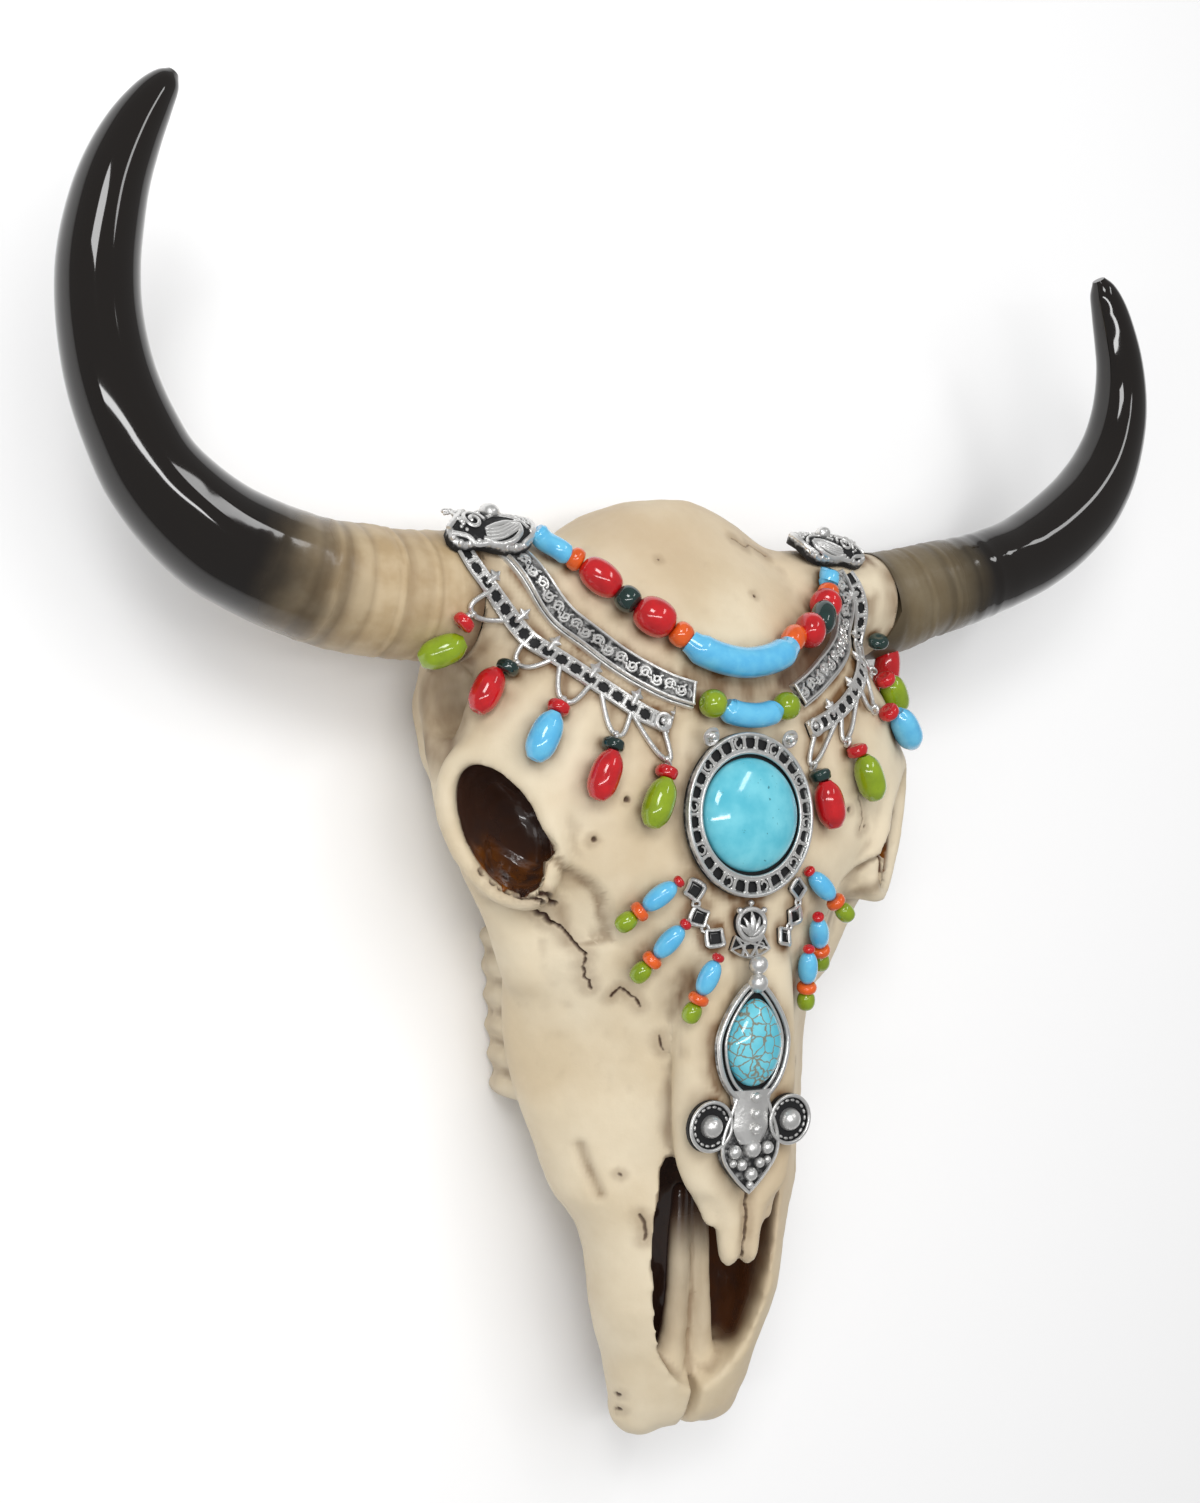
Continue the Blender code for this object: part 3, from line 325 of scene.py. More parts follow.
@dataclass(frozen=True)
class StoneFinish:
    """Polished turquoise, plain with small specks or netted with brown veins."""

    kind: StoneKind
    body: tuple = (0.085, 0.47, 0.60)
    light: tuple = (0.19, 0.62, 0.73)
    vein: tuple = (0.22, 0.15, 0.07)
    speck: tuple = (0.03, 0.16, 0.19)

    def material(self) -> bpy.types.Material:
        """Make the material."""
        constants = {"IOR": 1.55, "Coat Weight": 0.6, "Coat Roughness": 0.03}
        material, graph, shader = new_material(self.kind.value, constants)
        cloud = graph.ramp(graph.noise(110.0, 5.0), 0.3, 0.7)
        colour = graph.mix(cloud, self.body, self.light)
        if self.kind is StoneKind.PLAIN:
            specks = graph.ramp(graph.noise(620.0, 2.0), 0.69, 0.76)
            colour = graph.mix(specks * 0.8, colour, self.speck)
        else:
            place = graph.add("ShaderNodeTexCoord", output="Object")
            warp = graph.add("ShaderNodeTexNoise", {"Vector": place, "Scale": 500.0}, "Color")
            place = graph.add("ShaderNodeMix", {0: 0.0016, 4: place, 5: warp}, 1, data_type="VECTOR")
            inputs = {"Vector": place, "Scale": 330.0, "Randomness": 1.0}
            edge = graph.add("ShaderNodeTexVoronoi", inputs, "Distance", feature="DISTANCE_TO_EDGE")
            net = graph.ramp(edge, 0.095, 0.02)
            colour = graph.mix(net * 0.85, colour, self.vein)
        rough = graph.noise(200.0, 2.0) * 0.12 + 0.06
        feed(graph, shader, {"Base Color": colour, "Roughness": rough}, cloud, 0.05, 0.0003)
        return material


def soft_noise(points: np.ndarray, size: float, seed: int) -> np.ndarray:
    """Smooth noise from -1 to 1 with lumps of a given size.

    Args:
        points: places, one row each.
        size: the lumps' size in the points' own units.
        seed: picks the pattern.

    Returns:
        One number for each point.
    """
    scaled = points / size + seed * 17.31
    base = np.floor(scaled).astype(np.int64)
    part = scaled - base
    part = part * part * (3 - 2 * part)
    total = np.zeros(len(points))
    for corner in np.ndindex(2, 2, 2):
        cell = base + np.array(corner)
        mixed = (cell[:, 0] * 73856093) ^ (cell[:, 1] * 19349663) ^ (cell[:, 2] * 83492791)
        mixed = (mixed ^ (mixed >> 13)) * 1274126177
        value = (mixed & 0xFFFF) / 32767.5 - 1.0
        weight = np.prod(np.where(np.array(corner) == 1, part, 1 - part), axis=1)
        total += value * weight
    return total


def smooth_step(value: np.ndarray, low: float, high: float) -> np.ndarray:
    """A smooth rise from 0 at low to 1 at high."""
    t = np.clip((value - low) / (high - low), 0.0, 1.0)
    return t * t * (3 - 2 * t)


def between(rows: np.ndarray, t: float) -> np.ndarray:
    """The smooth curve from the second to the third of four rows, at a share of the way."""
    a, b, c, d = rows
    return 0.5 * (2 * b + (c - a) * t + (2 * a - 5 * b + 4 * c - d) * t**2
                  + (3 * b - a - 3 * c + d) * t**3)


def with_ends(rows: np.ndarray) -> np.ndarray:
    """The rows with one more past each end."""
    return np.vstack([2 * rows[0] - rows[1], rows, 2 * rows[-1] - rows[-2]])


def smooth_run(run: Run, count: int) -> np.ndarray:
    """A smooth curve through the run's points, at even lengths.

    Args:
        run: rows of coordinates, with any further values.
        count: how many points to give.

    Returns:
        The points, one row each.
    """
    knots = np.array(run, float)
    padded = with_ends(knots)
    fine = [between(padded[i : i + 4], t)
            for i in range(len(knots) - 1) for t in np.linspace(0, 1, 12, endpoint=False)]
    fine = np.array([*fine, knots[-1]])
    steps = np.linalg.norm(np.diff(fine[:, : min(3, fine.shape[1])], axis=0), axis=1)
    length = np.concatenate([[0], np.cumsum(steps)])
    wanted = np.linspace(0, length[-1], count)
    return np.stack([np.interp(wanted, length, column) for column in fine.T], axis=1)


def unit(rows: np.ndarray) -> np.ndarray:
    """Each row at length 1."""
    return rows / np.maximum(np.linalg.norm(rows, axis=-1, keepdims=True), 1e-12)


def turns(count: int) -> np.ndarray:
    """Even angles round a full turn."""
    return np.linspace(0, math.tau, count, endpoint=False)


def oval(count: int, half: Sequence[float], centre: Sequence[float] = (0.0, 0.0)) -> np.ndarray:
    """Flat points round an oval."""
    angles = turns(count)
    return np.stack([np.cos(angles), np.sin(angles)], axis=1) * np.array(half) + np.array(centre)


def level(flat: np.ndarray, height: float) -> np.ndarray:
    """Flat points at a height."""
    return np.column_stack([flat, np.full(len(flat), height)])


def grid_faces(rows: int, columns: int, closed: bool, caps: bool) -> list:
    """Faces between rings of points.

    Args:
        rows: the number of rings.
        columns: points in a ring.
        closed: whether the last ring meets the first.
        caps: whether the end rings are filled.

    Returns:
        The faces as tuples of point numbers.
    """
    faces = []
    for i in range(rows if closed else rows - 1):
        near, far = i * columns, ((i + 1) % rows) * columns
        for k in range(columns):
            j = (k + 1) % columns
            faces.append((near + k, near + j, far + j, far + k))
    if caps and not closed:
        faces.append(tuple(range(columns))[::-1])
        faces.append(tuple((rows - 1) * columns + k for k in range(columns)))
    return faces


def tube(centres: Run, radii: float | Sequence[float], sides: int = 8, closed: bool = False) -> Shape:
    """A round rod along centres.

    Args:
        centres: the rod's middle line.
        radii: one radius, or one for each centre.
        sides: points round the rod.
        closed: whether it is a ring.

    Returns:
        Points and faces.
    """
    centres = np.asarray(centres, float)
    count = len(centres)
    if closed:
        ahead = unit(np.roll(centres, -1, 0) - np.roll(centres, 1, 0))
    else:
        ahead = unit(np.gradient(centres, axis=0))
    spread = np.broadcast_to(np.asarray(radii, float), (count,))
    side = np.cross(ahead[0], (0, 0, 1.0))
    if np.linalg.norm(side) < 0.1:
        side = np.cross(ahead[0], (1.0, 0, 0))
    angles = turns(sides)
    rings = []
    for i in range(count):
        side = unit(side - ahead[i] * np.dot(side, ahead[i]))
        other = np.cross(ahead[i], side)
        ring = np.outer(np.cos(angles), side) + np.outer(np.sin(angles), other)
        rings.append(centres[i] + ring * spread[i])
    return np.vstack(rings), grid_faces(count, sides, closed, True)


def ball(centre: Sequence[float], radius: float, sides: int = 12) -> Shape:
    """A ball.

    Args:
        centre: its middle.
        radius: its radius.
        sides: points round it.

    Returns:
        Points and faces.
    """
    rings = max(5, sides // 2 + 1)
    rows = []
    for lift in np.linspace(-math.pi / 2, math.pi / 2, rings):
        wide = max(math.cos(lift), 0.02)
        rows.append(level(oval(sides, (wide, wide)), math.sin(lift)))
    points = np.vstack(rows) * radius + np.asarray(centre, float)
    return points, grid_faces(rings, sides, False, True)


def turned(profile: Run, sides: int) -> Shape:
    """A turned form about local Y.

    Args:
        profile: rows of (place along the axis, radius).
        sides: points round it.

    Returns:
        Points and faces.
    """
    around = turns(sides)
    rows = [np.stack([np.cos(around) * r, np.full(sides, t), -np.sin(around) * r], axis=1)
            for t, r in profile]
    return np.vstack(rows), grid_faces(len(rows), sides, False, True)


def plate(outline: np.ndarray, low: float, high: float) -> Shape:
    """A flat plate between two heights, for an outline that runs anticlockwise."""
    return np.vstack([level(outline, low), level(outline, high)]), grid_faces(2, len(outline), False, True)


def dome(base: np.ndarray, centre: Sequence[float], foot: float, rise: float, rings: float) -> Shape:
    """A stone that rises from a flat outline.

    Args:
        base: the outline about its own middle.
        centre: where that middle lies.
        foot: the height of the stone's underside, half a millimetre below its edge.
        rise: how far it rises above that edge.
        rings: how many rings it would take to close the top.

    Returns:
        Points and faces.
    """
    rows = [level(base + np.array(centre), foot)]
    for k in range(math.ceil(rings)):
        t = math.pi / 2 * k / rings
        rows.append(level(base * math.cos(t) ** 0.9 + np.array(centre), foot + 0.5 + rise * math.sin(t)))
    return np.vstack(rows), grid_faces(len(rows), len(base), False, True)


class Batch:
    """Points, faces and each point's relief, gathered into one mesh."""

    def __init__(self) -> None:
        """Start empty."""
        self.points: list[np.ndarray] = []
        self.relief: list[np.ndarray] = []
        self.faces: list[tuple] = []
        self.count = 0

    def add(self, shape: Shape, relief: float | np.ndarray | None = None) -> None:
        """Add a shape.

        Args:
            shape: points in millimetres, and faces.
            relief: how bright each point is worn, from its own height where none is given.
        """
        points, faces = shape
        if relief is None:
            low, high = points[:, 2].min(), points[:, 2].max()
            relief = 0.25 + 0.75 * (points[:, 2] - low) / max(high - low, 1e-6)
        self.points.append(points)
        self.relief.append(np.broadcast_to(np.asarray(relief, float), (len(points),)))
        self.faces.extend(tuple(i + self.count for i in face) for face in faces)
        self.count += len(points)

    def take(self, other: "Batch") -> None:
        """Add all that another batch holds."""
        self.faces.extend(tuple(i + self.count for i in face) for face in other.faces)
        self.points.extend(other.points)
        self.relief.extend(other.relief)
        self.count += other.count

    def bent(self, bend: Callable[[np.ndarray], np.ndarray]) -> "Batch":
        """The same batch with every point moved by a function."""
        self.points = [bend(points) for points in self.points]
        return self

    def make(self, name: str, material: bpy.types.Material) -> bpy.types.Object:
        """Make the object.

        Args:
            name: its name.
            material: its finish.

        Returns:
            The object, with a point attribute named relief.
        """
        obj = new_object(name, (np.vstack(self.points), self.faces), material)
        keep(obj.data, "relief", np.concatenate(self.relief))
        return obj


def keep(mesh: bpy.types.Mesh, name: str, values: np.ndarray) -> None:
    """Keep a number at each point of a mesh."""
    held = mesh.attributes.get(name) or mesh.attributes.new(name, "FLOAT", "POINT")
    held.data.foreach_set("value", values.astype(np.float32))


def outward_mesh(name: str, shape: Shape) -> bpy.types.Mesh:
    """A mesh of a shape, with its faces turned outwards."""
    mesh = bpy.data.meshes.new(name)
    mesh.from_pydata((shape[0] * MM).tolist(), [], shape[1])
    body = bmesh.new()
    body.from_mesh(mesh)
    bmesh.ops.recalc_face_normals(body, faces=body.faces)
    body.to_mesh(mesh)
    body.free()
    return mesh


def new_object(name: str, shape: Shape, material: bpy.types.Material) -> bpy.types.Object:
    """A smooth object of a shape.

    Args:
        name: the object's name.
        shape: its points in millimetres, and its faces.
        material: its finish.

    Returns:
        The object.
    """
    mesh = outward_mesh(name, shape)
    mesh.materials.append(material)
    mesh.shade_smooth()
    mesh.set_sharp_from_angle(angle=math.radians(50))
    obj = bpy.data.objects.new(name, mesh)
    bpy.context.scene.collection.objects.link(obj)
    return obj


def settle(obj: bpy.types.Object, slot: str, *nodes: str) -> None:
    """Let a finished piece ride on the part, in place of its solids.

    Args:
        obj: the piece.
        slot: its material slot in the record; not used.
        nodes: the solids that it replaces.
    """
    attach(obj, "root")
    if nodes:
        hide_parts(*nodes)
    LOG.info("%s: %d faces, for %s", obj.name, len(obj.data.polygons), ", ".join(nodes) or "none")


def node_points(name: str) -> np.ndarray:
    """The points of a solid, in millimetres."""
    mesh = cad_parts[name].data
    points = np.empty(len(mesh.vertices) * 3)
    mesh.vertices.foreach_get("co", points)
    return points.reshape(-1, 3) / MM


class Ground:
    """The bone and the horns, which the jewellery lies on."""

    def __init__(self, *objects: bpy.types.Object) -> None:
        """Gather the meshes."""
        shape = bmesh.new()
        for obj in objects:
            shape.from_mesh(obj.data)
        bmesh.ops.triangulate(shape, faces=shape.faces)
        self.tree = BVHTree.FromBMesh(shape)
        shape.free()

    def hit(self, x: float, y: float) -> tuple[np.ndarray, np.ndarray]:
        """The point and normal under a place, in millimetres."""
        start = Vector((x * MM, y * MM, 0.2))
        point, normal, _, _ = self.tree.ray_cast(start, Vector((0, 0, -1)))
        if point is None:
            point, normal, _, _ = self.tree.find_nearest(Vector((x * MM, y * MM, 55 * MM)))
        return np.array(point) / MM, np.array(normal)

    def even_normal(self, x: float, y: float, reach: float = 3.0) -> np.ndarray:
        """The average normal round a place."""
        spots = ((0, 0), (reach, 0), (-reach, 0), (0, reach), (0, -reach))
        return unit(sum(self.hit(x + dx, y + dy)[1] for dx, dy in spots))


class Route:
    """A path on the bone with a frame at every length along it."""

    def __init__(self, ground: Ground, places: Run, width: float) -> None:
        """Lay the path.

        Args:
            ground: what it lies on.
            places: its points seen from above.
            width: the width of what follows it.
        """
        flat = smooth_run(places, 60)
        ahead = unit(np.gradient(flat, axis=0))
        beside = np.stack([ahead[:, 1], -ahead[:, 0]], axis=1) * width / 2
        middles, normals = [], []
        for place, across in zip(flat, beside):
            ends = [ground.hit(*(place + sign * across))[0] for sign in (-1, 1)]
            middles.append((ends[0] + ends[1]) / 2)
            normals.append(ground.even_normal(*place))
        self.middle = even_out(ride_over(np.array(middles)), 3)
        self.up = unit(even_out(np.array(normals), 6))
        steps = np.linalg.norm(np.diff(self.middle, axis=0), axis=1)
        self.at = np.concatenate([[0], np.cumsum(steps)])
        self.length = float(self.at[-1])
        along = unit(np.gradient(self.middle, axis=0))
        self.across = unit(np.cross(along, self.up))

    def bend(self, points: np.ndarray) -> np.ndarray:
        """Move points from (along, across, up) onto the path."""
        rows = [np.stack([np.interp(points[:, 0], self.at, column) for column in part.T], axis=1)
                for part in (self.middle, self.across, self.up)]
        return rows[0] + unit(rows[1]) * -points[:, 1:2] + unit(rows[2]) * points[:, 2:3]


def ride_over(rows: np.ndarray) -> np.ndarray:
    """Lift points that lie in a narrow gap to the height of their neighbours."""
    high = rows[:, 2].copy()
    for k in (1, 2, 3):
        both = np.minimum(np.roll(rows[:, 2], k), np.roll(rows[:, 2], -k))
        high[k:-k] = np.maximum(high, both)[k:-k]
    return np.column_stack([rows[:, :2], high])


def even_out(rows: np.ndarray, times: int) -> np.ndarray:
    """Smooth a row of values along its length, keeping its ends."""
    for _ in range(times):
        rows = np.vstack([rows[:1], (rows[:-2] + 2 * rows[1:-1] + rows[2:]) / 4, rows[-1:]])
    return rows


class Pattern(Enum):
    """The repeated patterns that Geometry Nodes make on a flat strip."""

    OPENWORK = "openwork"
    SCROLLS = "scrolls"
    GRAINS = "grains"


class PatternTree:
    """A Geometry Nodes tree with named sizes, for one repeated pattern."""

    def __init__(self, pattern: Pattern, sizes: dict[str, float]) -> None:
        """Build the tree.

        Args:
            pattern: what it repeats.
            sizes: its named inputs in metres or counts, with their values.
        """
        self.tree = bpy.data.node_groups.new(pattern.value, "GeometryNodeTree")
        self.tree.interface.new_socket("Geometry", in_out="OUTPUT", socket_type="NodeSocketGeometry")
        for name, value in sizes.items():
            kind = "NodeSocketInt" if isinstance(value, int) else "NodeSocketFloat"
            socket = self.tree.interface.new_socket(name, in_out="INPUT", socket_type=kind)
            socket.default_value = value
        self.tree.interface.new_socket("Finish", in_out="INPUT", socket_type="NodeSocketMaterial")
        self.graph = Graph(self.tree)
        self.given = self.tree.nodes.new("NodeGroupInput")
        self.sizes = sizes
        made = {
            Pattern.OPENWORK: self.openwork,
            Pattern.SCROLLS: self.scrolls,
            Pattern.GRAINS: self.grains,
        }[pattern]()
        whole = self.graph.add("GeometryNodeRealizeInstances", {0: made})
        dressed = self.graph.add("GeometryNodeSetMaterial", {0: whole, "Material": self.size("Finish")})
        out = self.tree.nodes.new("NodeGroupOutput")
        self.tree.links.new(dressed.socket, out.inputs[0])

    def size(self, name: str) -> Value:
        """A named input."""
        return Value(self.graph, self.given.outputs[name])

    def point(self, x: Any = 0.0, y: Any = 0.0, z: Any = 0.0) -> Value:
        """A vector of three values."""
        return self.graph.add("ShaderNodeCombineXYZ", {0: x, 1: y, 2: z})

    def row(self, count: Any, first: Value, step: Value) -> Value:
        """Points in a line."""
        inputs = {"Count": count, "Start Location": first, "Offset": step}
        return self.graph.add("GeometryNodeMeshLine", inputs, mode="OFFSET")

    def repeat(self, points: Value, piece: Value, turn: Value | None = None) -> Value:
        """A piece at every point."""
        inputs = {"Points": points, "Instance": piece}
        if turn:
            inputs["Rotation"] = turn
        return self.graph.add("GeometryNodeInstanceOnPoints", inputs)

    def join(self, parts: list[Value]) -> Value:
        """Several geometries as one."""
        node = self.tree.nodes.new("GeometryNodeJoinGeometry")
        for part in reversed(parts):
            self.tree.links.new(part.socket, node.inputs[0])
        return Value(self.graph, node.outputs[0])

    def wire(self, curve: Value, radius: Value) -> Value:
        """A round wire along a curve."""
        ring = self.graph.add("GeometryNodeCurvePrimitiveCircle", {"Resolution": 6, "Radius": radius})
        inputs = {"Curve": curve, "Profile Curve": ring, "Fill Caps": True}
        return self.graph.add("GeometryNodeCurveToMesh", inputs)

    def openwork(self) -> Value:
        """Two rails with rungs between them, and a crescent in every third space."""
        add = self.graph.add
        length, width, rail = self.size("Length"), self.size("Width"), self.size("Rail")
        height, pitch = self.size("Height"), self.size("Pitch")
        line = add("GeometryNodeCurvePrimitiveLine", {"Start": self.point(), "End": self.point(length)})
        line = add("GeometryNodeResampleCurve", {"Curve": line, "Count": self.size("Segments")})
        bar = self.wire(line, rail * 0.5)
        parts = []
        for sign in (1, -1):
            place = self.point(0.0, (width - rail) * (0.5 * sign), height - rail * 0.5)
            parts.append(add("GeometryNodeTransform", {0: bar, "Translation": place}))
        reach = (width - rail) * 0.5
        line = add("GeometryNodeCurvePrimitiveLine", {"Start": self.point(0.0, reach * -1.0),
                                                      "End": self.point(0.0, reach)})
        rung = self.wire(line, rail * 0.6)
        spots = self.row(self.size("Rungs"), self.point(0.0, 0.0, height - rail * 0.55), self.point(pitch))
        parts.append(self.repeat(spots, rung))
        arc = add("GeometryNodeCurveArc", {"Resolution": 12, "Radius": self.size("Crescent"),
                                           "Start Angle": math.radians(-160),
                                           "Sweep Angle": math.radians(250)})
        hook = self.wire(arc, rail * 0.36)
        spots = self.row(self.size("Crescents"), self.point(pitch * 2.5, 0.0, height * 0.75),
                         self.point(pitch * 3.0))
        parts.append(self.repeat(spots, hook))
        return self.join(parts)

    def scrolls(self) -> Value:
        """Spiral scrolls in a row, each turned over from the last, with leaves between."""
        add = self.graph.add
        pitch, radius = self.size("Pitch"), self.size("Radius")
        inputs = {"Resolution": 14, "Rotations": 1.6, "Start Radius": radius * 0.14,
                  "End Radius": radius, "Height": 0.0}
        scroll = self.wire(add("GeometryNodeCurveSpiral", inputs), self.size("Wire"))
        step = add("GeometryNodeInputIndex")
        sway = self.graph.maths("MODULO", step, 2.0) - 0.5
        spots = self.row(self.size("Count"), self.point(pitch * 0.6, 0.0, self.size("Wire") * 0.8),
                         self.point(pitch))
        shift = self.point(0.0, sway * self.size("Sway"), 0.0)
        spots = add("GeometryNodeSetPosition", {"Geometry": spots, "Offset": shift})
        turn = self.point(0.0, 0.0, step * math.pi + 0.6)
        parts = [self.repeat(spots, scroll, turn)]
        arc = add("GeometryNodeCurveArc", {"Resolution": 7, "Radius": radius * 0.72,
                                           "Start Angle": 0.5, "Sweep Angle": 2.4})
        leaf = self.wire(arc, self.size("Wire") * 0.9)
        spaces = self.row(self.size("Count"), self.point(pitch * 1.1, 0.0, self.size("Wire") * 0.7),
                          self.point(pitch))
        for sign in (1, -1):
            back = self.point(0.0, sway * self.size("Sway") * -2.2 * sign, 0.0)
            moved = add("GeometryNodeSetPosition", {"Geometry": spaces, "Offset": back})
            turn = self.point(0.0, 0.0, step * math.pi + 1.4 * sign)
            parts.append(self.repeat(moved, leaf, turn))
        return self.join(parts)

    def grains(self) -> Value:
        """A row of small round grains."""
        add = self.graph.add
        inputs = {"Segments": 8, "Rings": 5, "Radius": self.size("Radius")}
        grain = add("GeometryNodeMeshUVSphere", inputs)
        spots = self.row(self.size("Count"), self.point(0.0, 0.0, self.size("Radius") * 0.4),
                         self.point(self.size("Pitch")))
        return self.repeat(spots, grain)


def grow(pattern: Pattern, material: bpy.types.Material, **sizes: float) -> Shape:
    """Run a pattern's tree and take its mesh.

    Args:
        pattern: the pattern.
        material: its finish.
        sizes: its named inputs, lengths in millimetres and counts as whole numbers.

    Returns:
        Points in millimetres, and faces.
    """
    metres = {key.capitalize(): size if isinstance(size, int) else size * MM
              for key, size in sizes.items()}
    made = PatternTree(pattern, metres)
    holder = bpy.data.objects.new(pattern.value, bpy.data.meshes.new(pattern.value))
    bpy.context.scene.collection.objects.link(holder)
    modifier = holder.modifiers.new("pattern", "NODES")
    modifier.node_group = made.tree
    for item in made.tree.interface.items_tree:
        if item.in_out == "INPUT":
            modifier[item.identifier] = material if item.name == "Finish" else metres[item.name]
    bpy.context.view_layer.update()
    graph = bpy.context.evaluated_depsgraph_get()
    mesh = bpy.data.meshes.new_from_object(holder.evaluated_get(graph))
    bpy.data.objects.remove(holder)
    bpy.data.node_groups.remove(made.tree)
    points = np.empty(len(mesh.vertices) * 3)
    mesh.vertices.foreach_get("co", points)
    faces = [tuple(face.vertices) for face in mesh.polygons]
    bpy.data.meshes.remove(mesh)
    return points.reshape(-1, 3) / MM, faces


@dataclass
class Skull:
    """The skull: the same mass as its solid, with a finer skin, cracks, pits and seams."""

    first_voxel: float = 1.9
    last_voxel: float = 1.2
    ring_points: int = 40
    sections: tuple = (
        (-170.5, 15.0, 35.0, 40.5, 29.0, 2.6), (-166.5, 19.5, 36.0, 45.0, 26.0, 2.6),
        (-158.0, 22.0, 38.0, 49.0, 24.0, 2.6), (-148.0, 24.3, 40.0, 53.5, 22.0, 2.5),
        (-135.0, 28.3, 43.0, 58.0, 21.0, 2.5), (-120.0, 30.3, 44.0, 61.5, 20.0, 2.3),
        (-111.0, 32.5, 42.0, 64.0, 19.0, 2.0), (-103.0, 38.5, 38.0, 66.0, 18.0, 1.8),
        (-94.0, 41.5, 36.0, 67.0, 16.0, 1.55), (-80.0, 46.0, 33.0, 68.5, 14.0, 1.45),
        (-67.0, 49.0, 30.0, 71.5, 12.0, 1.38), (-52.0, 50.5, 31.0, 74.5, 12.0, 1.42),
        (-36.0, 52.5, 36.0, 75.5, 12.0, 1.65), (-23.0, 54.0, 40.0, 75.5, 12.0, 2.0),
        (-9.0, 62.0, 45.0, 74.0, 12.0, 2.9), (10.0, 72.0, 48.0, 74.0, 13.0, 3.3),
        (25.0, 71.0, 48.0, 73.5, 12.0, 3.1), (40.0, 65.0, 46.0, 71.5, 9.0, 2.9),
        (52.0, 57.0, 44.0, 68.5, 8.0, 2.6), (62.0, 53.0, 40.0, 64.5, 9.0, 2.4),
        (71.0, 46.0, 36.0, 60.0, 12.0, 2.2), (79.0, 37.0, 32.0, 55.5, 14.0, 2.1),
        (87.0, 26.0, 29.0, 50.5, 17.0, 2.0), (91.5, 15.0, 28.0, 45.5, 20.0, 2.0),
        (93.0, 7.0, 28.0, 39.0, 24.0, 2.0),
    )
    orbit_centre: tuple = (64.6, -3.4, 57.0)
    orbit_facing: tuple = (0.7, -0.1, 0.7)
    orbit_tilt: float = math.radians(26.0)
    orbit_half: tuple = (10.4, 18.8)
    orbit_depth: float = 25.0
    rim_thickness: float = 3.8
    rim_sink: float = 1.2
    corner: tuple = (56.2, -7.4, 65.0)
    corner_half: tuple = (5.4, 2.0, 6.0)
    corner_turn: float = math.radians(-52.0)
    ledge: tuple = ((53.0, -13.0, 60.0, 3.6), (55.0, -19.0, 59.0, 3.8))
    cheek_arch: tuple = (
        (46, -40, 38, 9), (53, -26, 41, 8), (61, -13, 42, 7.5), (68, 4, 39, 7),
        (68, 20, 31, 6.5), (65, 36, 24, 8), (60, 50, 22, 10),
    )
    temple: tuple = (
        (52, 62, 26, 12), (58, 48, 19, 10), (62, 32, 17, 9.5), (61, 18, 18, 8.5), (56, 6, 22, 8),
    )
    side_process: tuple = ((30, 56, 22, 7), (31, 53, 10, 6), (30, 51, 2, 5))
    wing: tuple = ((20, 6, 22, 6), (19, -2, 12, 5), (17, -8, 5, 4))
    keel: tuple = ((0, -26, 13, 9), (0, -8, 7.5, 10), (0, 10, 7, 10.5), (0, 40, 8, 12), (0, 56, 8, 13))
    horn_seat_x: float = 69.0
    horn_seats: tuple = ((-1, 59.0, 42.0, 17.7), (1, 65.6, 42.0, 16.4))
    nasal_sections: tuple = (
        (-22.0, 8.0, 68.0, 6.0, 5.0), (-40.0, 8.6, 69.4, 8.8, 7.0), (-60.0, 9.0, 68.8, 9.6, 7.6),
        (-80.0, 9.2, 67.8, 9.8, 7.2), (-92.0, 9.0, 67.6, 9.2, 6.2), (-100.0, 7.6, 68.0, 7.8, 5.0),
        (-104.0, 4.9, 68.0, 5.0, 4.2), (-108.0, 3.7, 67.8, 3.7, 3.8), (-114.0, 3.2, 67.4, 3.1, 3.3),
        (-119.0, 3.1, 67.0, 2.7, 2.9), (-121.5, 3.0, 66.8, 1.2, 1.4),
    )
    nasal_spur: tuple = ((10.5, -92, 66, 4.2), (10.2, -101, 67, 3.2), (9.0, -108.5, 67.2, 1.9))
    nasal_drift: float = 1.3
    medial_bar: tuple = (
        (3.0, -104, 45, 2.6), (3.4, -118, 44.5, 3.2), (3.8, -135, 43, 3.6), (4.6, -148, 41, 4.4),
        (6.0, -158, 38.5, 6.0),
    )
    muzzle_end: tuple = (11.0, -163.5, 35.0)
    muzzle_end_half: tuple = (9.4, 8.6, 8.4)
    nasal_cavity: tuple = (
        (-84.0, 9.0, 48.0, 58.0), (-91.0, 16.5, 42.0, 62.0), (-94.0, 18.0, 38.0, 82.0),
        (-105.0, 19.5, 32.0, 82.0), (-120.0, 19.5, 29.0, 82.0), (-136.0, 17.6, 29.0, 82.0),
        (-145.0, 15.0, 32.0, 82.0), (-152.0, 10.5, 42.0, 82.0), (-158.0, 5.5, 48.0, 82.0),
    )
    # The recess behind each temple, which takes painted shade.
    recess_middle: tuple = (76.0, 29.0, 37.0)
    recess_half: tuple = (25.0, 17.0, 14.0)
    tooth_x: float = 38.5
    tooth_first_y: float = -33.0
    tooth_pitch: float = 8.6
    tooth_count: int = 6
    tooth_half: tuple = (6.8, 4.7, 17.0)
    crown_half: tuple = (6.8, 4.0, 15.0)
